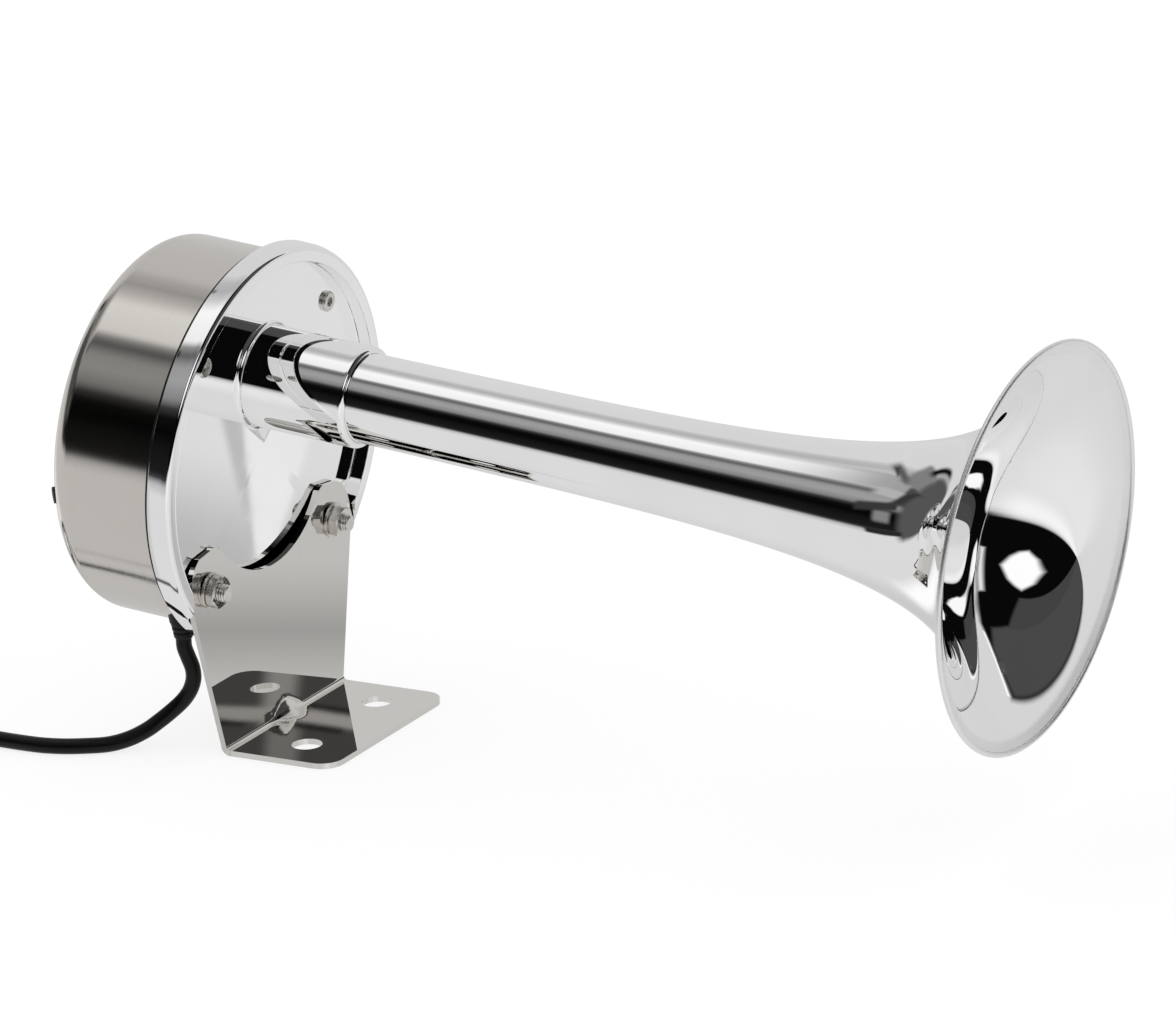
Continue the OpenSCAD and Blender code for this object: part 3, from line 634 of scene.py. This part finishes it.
def relief_block():
    """The space behind the bracket's plate, which the rim is cut back for."""
    back = BEND_X - SHEET_T - RELIEF_GAP
    points = [(x, y, z) for x in (back, back + RELIEF_DEPTH)
              for y in (-RELIEF_HALF_W, RELIEF_HALF_W) for z in (RELIEF_LOW_Z, RELIEF_HIGH_Z)]
    faces = [[0, 1, 3, 2], [4, 5, 7, 6], [0, 1, 5, 4], [2, 3, 7, 6], [0, 2, 6, 4], [1, 3, 7, 5]]
    return add_mesh("relief", points, faces, lean_matrix())


def lean_matrix():
    """Leans an upright sheet back about the centre of its bend."""
    centre = Matrix.Translation(((BEND_X + BEND_R) * MM, 0, BEND_TOP * MM))
    return centre @ Matrix.Rotation(-LEAN, 4, "Y") @ centre.inverted()


# Drum

def shoulder_point(a, inset=0.0):
    run = -BACK_X + CREASE_X - inset
    rise = SHOULDER_H - inset
    return (CREASE_X - run * math.sin(a), DRUM_R - inset - rise * (1 - math.cos(a)))


def make_drum():
    steps = np.linspace(0, math.pi / 2, 29)
    inner_back = BACK_X + DRUM_WALL
    profile = [(DRUM_FRONT, DRUM_R - DRUM_WALL), (DRUM_FRONT, DRUM_R - EDGE_ROUND)]
    profile += [(DRUM_FRONT - EDGE_ROUND, DRUM_R)] + [shoulder_point(a) for a in steps]
    profile += [(BACK_X, BACK_FLAT_R), (BACK_X, 0), (inner_back, 0), (inner_back, BACK_FLAT_R)]
    profile += [shoulder_point(a, DRUM_WALL) for a in reversed(steps)]
    piece = turned("drum_shell", profile, segments=256)
    dress(smooth(piece, 40), DRUM_STEEL, "brushed_drum", "rear_cover")


# Bracket. Its blank is laid out flat in y and in h, the height along the plate's front
# surface, and the bend and the foot lie below BEND_TOP.

def plate_half():
    """The blank's outline for y > 0, from the foot's front edge up to the arch's middle."""
    edge = FOOT_W / 2
    front = BEND_TOP - BEND_RUN - (FOOT_LEN - BEND_R)
    side = [(0, front), (edge - FOOT_ROUND, front)]
    side += arc(edge - FOOT_ROUND, front + FOOT_ROUND, FOOT_ROUND, -90, 0)[1:]
    side += [(edge, BEND_TOP), (SHOULDER_Y, SHOULDER_Z)]
    side += arc(EAR_Y, EAR_Z, EAR_R, -8, 62, 10)
    side += arc(EAR_Y - EAR_INNER_R, EAR_Z + EAR_R - EAR_INNER_R, EAR_INNER_R, 62, 150, 6)
    meet = math.degrees(math.acos(ARCH_START_Y / ARCH_R))
    side += arc(0, ARCH_Z, ARCH_R, -meet, -90, 20)
    return side


def divided(loop, step):
    """A closed outline with points at most a step apart."""
    made = []
    for (y0, h0), (y1, h1) in zip(loop, loop[1:] + loop[:1]):
        count = max(1, math.ceil(math.hypot(y1 - y0, h1 - h0) / step))
        made += [(y0 + (y1 - y0) * i / count, h0 + (h1 - h0) * i / count) for i in range(count)]
    return made


def in_polygon(p, loop):
    x, y = p
    inside = False
    for (x0, y0), (x1, y1) in zip(loop, loop[1:] + loop[:1]):
        if (y0 > y) != (y1 > y) and x < (x1 - x0) * (y - y0) / (y1 - y0) + x0:
            inside = not inside
    return inside


def blank_loops():
    """The blank's outline and its four holes, each as a closed loop of (y, h) points."""
    half = plate_half()
    loops = [divided(half + [(-y, h) for y, h in reversed(half[1:-1])], OUTLINE_STEP)]
    foot_hole_h = BEND_TOP - BEND_RUN + BEND_X + BEND_R
    crossing = HORN @ Vector((BOLT_CROSSING_X * MM, 0, -SCREW_Y * MM))
    bolt_h = crossing.z / MM / math.cos(LEAN)
    loops += [circle(y, foot_hole_h, FOOT_HOLE_R, 48) for y in (-FOOT_HOLE_Y, FOOT_HOLE_Y)]
    loops += [circle(y, bolt_h, BOLT_HOLE_R, 36) for y in (-SCREW_Y, SCREW_Y)]
    return loops


def blank_grid():
    """Points inside and outside the blank that divide its faces, finer round the bend."""
    low, high = BEND_TOP - BEND_RUN - FINE_REACH, BEND_TOP + FINE_REACH
    rows = {*np.arange(GRID_LOW_H, GRID_HIGH_H, COARSE_STEP), *np.arange(low, high, FINE_STEP),
            *(BEND_TOP - BEND_RUN * np.linspace(0, 1, 9))}
    points = []
    for h in sorted(rows):
        step = FINE_STEP if low < h < high else COARSE_STEP
        points += [(y, h) for y in np.arange(-GRID_HALF_W, GRID_HALF_W + step / 2, step)]
    return points


def sheet_place(y, h):
    """World place in millimetres of a point of the blank on the bent sheet's front surface."""
    centre_x = BEND_X + BEND_R
    rise = h - BEND_TOP
    if rise >= 0:
        x = centre_x - BEND_R * math.cos(LEAN) - rise * math.sin(LEAN)
        return (x, y, BEND_TOP - BEND_R * math.sin(LEAN) + rise * math.cos(LEAN))
    if -rise <= BEND_RUN:
        a = math.pi + LEAN - rise / BEND_R
        return (centre_x + BEND_R * math.cos(a), y, BEND_TOP + BEND_R * math.sin(a))
    return (centre_x - rise - BEND_RUN, y, SHEET_T)


def gusset_rise(y, h):
    """How far the pressed gusset stands out, equally in X and Z: two flat flanks with a ridge."""
    bend_mid = BEND_TOP - BEND_RUN / 2
    along = GUSSET_LEG * (1 - math.hypot(y, GUSSET_CREST) / GUSSET_W)
    flank = (along - math.hypot(h - bend_mid, GUSSET_CREST / 2)) / 2
    if abs(flank) < GUSSET_ROUND:
        return (flank + GUSSET_ROUND) ** 2 / (4 * GUSSET_ROUND)
    return max(0.0, flank)


def bent_sheet():
    """The bracket's front surface: the blank cut into triangles, bent and pressed."""
    loops = blank_loops()
    points, edges = [], []
    for loop in loops:
        start = len(points)
        points += loop
        edges += [(start + i, start + (i + 1) % len(loop)) for i in range(len(loop))]
    points += blank_grid()
    made = delaunay_2d_cdt([Vector(p) for p in points], edges, [], 0, 1e-4)
    verts, triangles = made[0], made[2]
    kept = []
    for face in triangles:
        middle = sum((verts[i] for i in face), Vector((0, 0))) / 3
        if in_polygon(middle, loops[0]) and not any(in_polygon(middle, hole) for hole in loops[1:]):
            kept.append(face)
    used = sorted({i for face in kept for i in face})
    number = {i: n for n, i in enumerate(used)}
    places = []
    for y, h in (verts[i] for i in used):
        out = gusset_rise(y, h)
        x, y, z = sheet_place(y, h)
        places.append((x + out, y, z + out))
    piece = add_mesh("bracket_sheet", places, [[number[i] for i in face] for face in kept])
    if sum(face.normal.z * face.area for face in piece.data.polygons) < 0:
        piece.data.flip_normals()
    return piece


def make_bracket():
    piece = bent_sheet()
    thick = piece.modifiers.new("thickness", "SOLIDIFY")
    thick.thickness = SHEET_T * MM
    thick.offset = -1
    thick.use_even_offset = True
    apply_modifiers(piece)
    edges = piece.modifiers.new("edges", "BEVEL")
    edges.width = 0.2 * MM
    edges.segments = 1
    edges.limit_method = "ANGLE"
    edges.angle_limit = math.radians(50)
    apply_modifiers(piece)
    dress(smooth(piece, 30), BRACKET_STEEL, "bracket_steel", "bracket")


# Fasteners

def thread(name, x0, x1, r, y, z):
    """A threaded end: one turned body whose radius follows the thread's helix."""
    segments, rings_per_pitch = 40, 10
    count = int((x1 - x0) / THREAD_PITCH * rings_per_pitch)
    points, rows = [], []
    for i in range(count + 1):
        x = x0 + (x1 - x0) * i / count
        taper = TIP_TAPER * max(0.0, 1 - (x1 - x) / TIP_LEN)
        rows.append(list(range(len(points), len(points) + segments)))
        for k in range(segments):
            a = 2 * math.pi * k / segments
            phase = x / THREAD_PITCH + k / segments
            here = r - taper - THREAD_DEPTH * (0.5 + 0.5 * math.cos(2 * math.pi * phase))
            points.append((x, y + here * math.sin(a), z + here * math.cos(a)))
    return add_mesh(name, points, skin(rows) + [rows[0], rows[-1]], HORN)


def bolt(y, z):
    """The threaded end, head and shank of one bolt."""
    return [thread("bolt", THREAD_START, BOLT_TIP, M5_R, y, z),
            hexagon("bolt_head", BOLT_HEAD_BACK, BOLT_HEAD_FRONT, NUT_CORNER_R, y, z),
            bar("bolt_shank", BOLT_HEAD_FRONT - 0.1, THREAD_START + 0.1, M5_R, y, z, 40)]


def nut(y, z, turn):
    end = WASHER_FRONT + NUT_H
    block = hexagon("nut", WASHER_FRONT + 0.02, end, NUT_CORNER_R, y, z, 0.45, turn)
    return cut(block, bar("nut_bore", WASHER_FRONT - 1, end + 1, M5_R - 0.05, y, z, 40))


def washer(y, z):
    inner_r, chamfer = M5_R + 0.1, 0.1
    profile = [(WASHER_BACK, inner_r), (WASHER_BACK, WASHER_R - chamfer),
               (WASHER_BACK + chamfer, WASHER_R), (WASHER_FRONT - chamfer, WASHER_R),
               (WASHER_FRONT, WASHER_R - chamfer), (WASHER_FRONT, inner_r)]
    return turned("washer", profile, z, y, segments=64)


def screw(y, z):
    """The domed head with its hexagon socket, and the shank, of one flange screw."""
    root, seat, brim, top = FACE_X - 0.3, FACE_X - 0.02, FACE_X + 0.45, FACE_X + SCREW_HEAD_H
    outline = [(root, 0), (root, SCREW_R), (seat, SCREW_R), (seat, SCREW_HEAD_R - 0.05)]
    outline += [(brim, SCREW_HEAD_R)] + arc(brim, SCREW_R, SCREW_HEAD_R - SCREW_R, 90, 35, 5)
    outline += [(top, SCREW_R - 0.4), (top, 0)]
    dome = turned("screw_head", outline, z, y, segments=64, closed=False)
    cut(dome, hexagon("socket", FACE_X + 0.2, FACE_X + 2, KEY_CORNER_R, y, z, 0.05))
    return [dome, bar("screw_shank", SCREW_END, FACE_X - 0.2, SCREW_R, y, z, 40)]


def make_pair(name, pieces, crease, node):
    """Joins the pieces of two like fasteners into the one object that stands for their node."""
    dress(smooth(join(pieces, name), crease), BRIGHT_STEEL, "bright_fastener", node)


def make_fasteners():
    left, right = -SCREW_Y, SCREW_Y
    lower, upper = -SCREW_Y, SCREW_Y
    make_pair("bolt_pair", bolt(left, lower) + bolt(right, lower), 50, "bracket_bolts")
    nuts = [nut(left, lower, LEFT_NUT_TURN), nut(right, lower, RIGHT_NUT_TURN)]
    make_pair("nut_pair", nuts, 30, "bracket_nuts")
    make_pair("washer_pair", [washer(left, lower), washer(right, lower)], 30, "bracket_washers")
    make_pair("screw_pair", screw(left, upper) + screw(right, upper), 40, "flange_screws")


# Lead

def curve_through(points, steps):
    """Points of one smooth curve through the given ones."""
    given = [Vector(p) for p in points]
    ends = [2 * given[0] - given[1]] + given + [2 * given[-1] - given[-2]]
    made = []
    for p0, p1, p2, p3 in zip(ends, ends[1:], ends[2:], ends[3:]):
        for i in range(steps):
            t = i / steps
            made.append(0.5 * (2 * p1 + (p2 - p0) * t + (2 * p0 - 5 * p1 + 4 * p2 - p3) * t * t
                               + (3 * p1 - p0 - 3 * p2 + p3) * t * t * t))
    return made + [given[-1]]


def coil_points():
    """Flat turns that wind inwards from the free stretch, and an end turned further in."""
    start_r = COIL_MEAN_R + COIL_TURNS * COIL_STEP / 2
    centre = Vector((COIL_START_X, LEAD_ROUTE[-1][1] + start_r, 0))
    per_turn = 72
    made = []
    for i in range(COIL_TURNS * per_turn + 1):
        a = math.radians(270 - 360 * i / per_turn)
        r = start_r - COIL_STEP * i / per_turn
        made.append(centre + Vector((r * math.cos(a), r * math.sin(a), LEAD_R)))
    turn_end = made[-1].copy()
    for i in range(1, per_turn // 6 + 1):
        a = math.radians(270 - 360 * i / per_turn)
        made.append(turn_end + END_BEND_R * Vector((math.cos(a), 1 + math.sin(a), 0)))
    made.append(made[-1] + (made[-1] - made[-2]).normalized() * 2 * LEAD_R)
    return made


def make_lead():
    line = curve_through(LEAD_ROUTE, 5) + coil_points()
    data = bpy.data.curves.new("lead", "CURVE")
    data.dimensions = "3D"
    data.bevel_depth = LEAD_R * MM
    data.bevel_resolution = 8
    data.use_fill_caps = True
    spline = data.splines.new("POLY")
    spline.points.add(len(line) - 1)
    for point, place in zip(spline.points, line):
        point.co = (*(place * MM), 1)
    spline.use_smooth = True
    piece = add_object("lead_sheath", data)
    dress(piece, SHEATH, "cable_sheath", "cable", "cable_coil")


def make_grommet():
    """Ribbed rubber gland in the drum's underside that tapers down to the lead."""
    profile = [(GROMMET_LOW_Z, LEAD_R - 0.02), (GROMMET_LOW_Z, LEAD_R + 0.2),
               (GROMMET_LOW_Z + 0.3, LEAD_R + 0.4)]
    for rib in range(GROMMET_RIBS):
        z = GROMMET_LOW_Z + 0.8 + RIB_STEP * rib
        r = LEAD_R + 0.5 + RIB_GROWTH * rib
        profile += [(z, r), (z + 0.8, r + 0.12), (z + 0.95, r - 0.15), (z + 1.35, r - 0.1)]
    profile += [(GROMMET_NECK_Z, GROMMET_NECK_R), (GROMMET_TOP_Z, GROMMET_TOP_R),
                (GROMMET_TOP_Z, LEAD_R - 0.5)]
    segments = 48
    points, rows = [], []
    for z, r in profile:
        rows.append(list(range(len(points), len(points) + segments)))
        points += [(x, y, z) for x, y in circle(*GROMMET_AT, r, segments)]
    piece = add_mesh("gland", points, skin(rows, closed=True))
    dress(smooth(piece, 50), RUBBER, "black_rubber", "cable_grommet")


# Studio

# The studio that gloss shows, laid out round the horn's axis. A direction is given by its
# component along the axis and by its angle round it: 0 level towards the photographer's side,
# 90 up and -90 down. Tones are display values from 0 to 255.
BANDS = [(-180, 214), (-100, 218), (-60, 220), (-17, 219), (-11, 185), (-7, 60), (-4, 28),
         (8, 20), (18, 6), (26, 14), (31, 55), (36, 132), (46, 158), (54, 152), (61, 92),
         (66, 140), (70, 240), (90, 250), (98, 205), (105, 178), (112, 184), (120, 213),
         (180, 215)]

# Panels over the bands, each with its range along the axis, its range of angle, how soft its
# edges are both ways, how many degrees it leans per unit along the axis, and its tone
PANELS = [
    (0.45, 1.2, -34, -5, 0.2, 14, 0, 246),
    (0.55, 1.2, -110, -34, 0.3, 25, 0, 230),
    (-0.72, -0.50, -172, -112, 0.10, 24, 0, 200),
    (-0.88, -0.73, -150, -96, 0.05, 14, 0, 255),
    (-1.2, -0.66, 67, 99, 0.15, 4, 0, 162),
    (-1.2, -0.915, -24, 182, 0.02, 8, 0, 84),
    (-0.93, -0.83, 88, 134, 0.02, 4, 0, 128),
    (-0.885, -0.83, 56, 88, 0.012, 4, 0, 158),
    (-0.93, -0.89, 45, 88, 0.012, 4, 0, 74),
    (-0.89, -0.79, 56, 72, 0.02, 3, 0, 177),
    (-0.905, -0.875, 125, 172, 0.012, 8, 0, 16),
    (-0.88, -0.82, 8, 29, 0.012, 5, 0, 130),
    (-0.90, -0.76, 28, 44, 0.01, 4, -100, 55),
    (-0.93, -0.79, -15, -6, 0.01, 2, 0, 40),
    (-0.86, -0.73, 100, 110, 0.03, 4, 200, 92),
    (-0.475, 0.3, -74.5, -71.5, 0.01, 1.2, 0, 95),
    (-0.475, -0.44, -71, -12, 0.01, 2, 0, 204),
    (-0.475, -0.44, 59.5, 63.5, 0.01, 1.2, 0, 40),
    (-0.475, -0.44, 104, 106.5, 0.01, 1.5, 0, 110),
]

# Cards with straight edges over the panels, each with its tone, how soft its edges are in
# degrees, and its corners as pairs of the component along the axis and the angle
CARDS = [
    (8, 2.0, ((0.33, -5), (1.2, -5), (1.2, 170), (0.52, 170), (0.33, 125))),
    (72, 2.0, ((0.45, 124), (0.61, 117), (1.2, 117), (1.2, 168), (0.545, 168), (0.43, 143))),
    (66, 1.5, ((0.62, 119), (0.74, 85), (1.2, 92), (1.2, 119))),
    (252, 0.5, ((0.34, 132), (0.362, 132), (0.512, 169), (0.488, 169))),
    (251, 2.2, ((0.345, 36), (0.375, 36), (0.395, 86), (0.36, 88))),
    (222, 0.5, ((0.455, -161), (0.52, -161), (0.52, -152), (0.455, -152))),
    (184, 0.42, ((0.455, -155.78), (0.52, -155.78), (0.52, -152), (0.455, -152))),
    (187, 0.03, ((0.4925, -156.34), (0.4909, -156.38), (0.4885, -155.73), (0.4891, -155.72))),
    (234, 0.02, ((0.4912, -156.47), (0.4853, -156.60), (0.4863, -155.44), (0.4870, -155.31))),
    (212, 0.5, ((0.52, -166), (0.59, -166), (0.59, -161), (0.52, -161))),
    (172, 0.36, ((0.52, -162.32), (0.59, -162.32), (0.59, -161.88), (0.52, -161.88))),
    (78, 0.3, ((0.442, 151), (0.53, 151), (0.53, 158), (0.471, 158))),
    (158, 0.06, ((0.4995, 156.4), (0.4965, 156.4), (0.4954, 155.3), (0.4982, 155.3))),
    (130, 0.05, ((0.4666, 153.3), (0.4636, 153.5), (0.4621, 152.8), (0.4647, 152.7))),
    (168, 0.02, ((0.5043, 155.55), (0.4974, 155.64), (0.4972, 155.56), (0.5004, 155.49),
                 (0.5041, 155.48))),
    (178, 0.02, ((0.4651, 153.29), (0.4583, 153.35), (0.4573, 153.27), (0.4648, 153.20))),
    (40, 0.012, ((0.4644, 153.34), (0.4582, 153.40), (0.4581, 153.37), (0.4642, 153.31))),
    (40, 0.012, ((0.4638, 153.20), (0.4591, 153.25), (0.4589, 153.21), (0.4637, 153.16))),
    (44, 0.012, ((0.5041, 155.46), (0.4995, 155.51), (0.5003, 155.46), (0.5040, 155.42))),
    (54, 0.9, ((-0.86, 44), (-0.91, 50), (-0.955, 90), (-0.93, 84), (-0.895, 68))),
    (62, 0.6, ((-0.745, 112.5), (-0.80, 97), (-0.80, 100), (-0.76, 113))),
    (254, 2.2, ((0.55, 51), (0.625, 38.5), (0.70, 31.5), (0.775, 28.5), (0.86, 37), (0.905, 54),
                (0.85, 68.5), (0.755, 75.5), (0.69, 71), (0.625, 65))),
]
# Degrees of angle that count as one unit along the axis, for the slant of a card's edges
SPREAD = 66.0
STUDIO_STRENGTH = 1.03

FLOOR_HALF_M = 8.0
FLOOR_LIT = 0.86
FLOOR_SHADE = 0.22
FLOOR_GLOW = 0.80


def display(tone):
    """Linear light for a display value from 0 to 255."""
    v = tone / 255
    return v / 12.92 if v <= 0.04045 else ((v + 0.055) / 1.055) ** 2.4


def step_up(tree, value, at, soft):
    """0 below the given value and 1 above it, with a soft step between."""
    return add_node(tree, "ShaderNodeMapRange",
                    {"Value": value, "From Min": at - soft, "From Max": at + soft},
                    interpolation_type="SMOOTHSTEP").outputs[0]


def window(tree, value, low, high, soft):
    """1 between low and high with soft edges, and 0 outside."""
    up = step_up(tree, value, low, soft)
    down = step_up(tree, math_node(tree, "MULTIPLY", value, -1.0), -high, soft)
    return math_node(tree, "MULTIPLY", up, down)


def panel_share(tree, along, angle, panel):
    """1 inside a panel of the list above, with soft edges, and 0 outside."""
    x0, x1, a0, a1, soft_x, soft_a, slant = panel
    if slant:
        lean = math_node(tree, "MULTIPLY_ADD", along, -slant, slant * (x0 + x1) / 2)
        angle = math_node(tree, "ADD", lean, angle)
    return math_node(tree, "MULTIPLY", window(tree, along, x0, x1, soft_x),
                     window(tree, angle, a0, a1, soft_a))


def card_share(tree, along, angle, corners, soft):
    """1 inside a convex card, found from the least distance to the lines of its edges."""
    places = [(x * SPREAD, a) for x, a in corners]
    edges = list(zip(places, places[1:] + places[:1]))
    side = 1 if sum(x0 * a1 - x1 * a0 for (x0, a0), (x1, a1) in edges) > 0 else -1
    least = None
    for (x0, a0), (x1, a1) in edges:
        run = math.hypot(x1 - x0, a1 - a0) * side
        across, up = (a0 - a1) / run, (x1 - x0) / run
        distance = math_node(tree, "MULTIPLY_ADD", along, across * SPREAD, -across * x0 - up * a0)
        distance = math_node(tree, "MULTIPLY_ADD", angle, up, distance)
        least = math_node(tree, "MINIMUM", least, distance) if least else distance
    return step_up(tree, least, 0.0, soft)


def lay_over(tree, under, share, tone):
    """The light under a panel or card, replaced by its tone where its share is 1."""
    rest = math_node(tree, "MULTIPLY", under, math_node(tree, "SUBTRACT", 1.0, share))
    return math_node(tree, "MULTIPLY_ADD", share, display(tone), rest)


def studio_world():
    """White for the camera and for soft light, and the studio above for gloss."""
    world = bpy.data.worlds.new("studio")
    bpy.context.scene.world = world
    world.use_nodes = True
    world.cycles.sampling_method = "NONE"
    tree = world.node_tree
    tree.nodes.clear()
    way = add_node(tree, "ShaderNodeTexCoord").outputs["Generated"]
    forward = (math.cos(PITCH), 0.0, -math.sin(PITCH))
    upward = (math.sin(PITCH), 0.0, math.cos(PITCH))
    along, toward, height = [
        add_node(tree, "ShaderNodeVectorMath", {0: way, 1: axis}, operation="DOT_PRODUCT").outputs[1]
        for axis in (forward, (0.0, -1.0, 0.0), upward)]
    turn = math_node(tree, "ARCTAN2", height, toward)
    angle = math_node(tree, "MULTIPLY", turn, 180 / math.pi)
    place = math_node(tree, "MULTIPLY_ADD", angle, 1 / 360, 0.5)
    light = ramp(tree, place, [((a + 180) / 360, display(tone)) for a, tone in BANDS])
    for *panel, tone in PANELS:
        light = lay_over(tree, light, panel_share(tree, along, angle, panel), tone)
    for tone, soft, corners in CARDS:
        light = lay_over(tree, light, card_share(tree, along, angle, corners, soft), tone)
    path = add_node(tree, "ShaderNodeLightPath")
    studio = add_node(tree, "ShaderNodeBackground", {"Color": light, "Strength": STUDIO_STRENGTH})
    white = add_node(tree, "ShaderNodeBackground", {"Color": (1, 1, 1, 1), "Strength": 1.0})
    mixed = add_node(tree, "ShaderNodeMixShader",
                     {0: path.outputs["Is Glossy Ray"], 1: white.outputs[0], 2: studio.outputs[0]})
    add_node(tree, "ShaderNodeOutputWorld", {0: mixed.outputs[0]})


def make_floor():
    """A pale floor that gloss doesn't see and that glows faintly for the camera."""
    half = FLOOR_HALF_M
    mesh = bpy.data.meshes.new("floor")
    mesh.from_pydata([(-half, -half, 0), (half, -half, 0), (half, half, 0), (-half, half, 0)],
                     [], [[0, 1, 2, 3]])
    floor = add_object("floor", mesh)
    made = bpy.data.materials.new("pale_floor")
    made.use_nodes = True
    tree = made.node_tree
    tree.nodes.clear()
    pale = add_node(tree, "ShaderNodeBsdfDiffuse", {"Color": (FLOOR_LIT,) * 3 + (1,)})
    faint = add_node(tree, "ShaderNodeBsdfDiffuse", {"Color": (FLOOR_SHADE,) * 3 + (1,)})
    lift = add_node(tree, "ShaderNodeEmission", {"Color": (1, 1, 1, 1), "Strength": FLOOR_GLOW})
    both = add_node(tree, "ShaderNodeAddShader", {0: faint.outputs[0], 1: lift.outputs[0]})
    path = add_node(tree, "ShaderNodeLightPath")
    shown = add_node(tree, "ShaderNodeMixShader",
                     {0: path.outputs["Is Camera Ray"], 1: pale.outputs[0], 2: both.outputs[0]})
    add_node(tree, "ShaderNodeOutputMaterial", {0: shown.outputs[0]})
    mesh.materials.append(made)
    floor.visible_glossy = False


bpy.context.scene.view_settings.view_transform = "Standard"
make_camera()
make_lead()
dress_nodes()
make_grommet()
make_trumpet()
make_housing()
make_drum()
make_bracket()
make_fasteners()
studio_world()
make_floor()
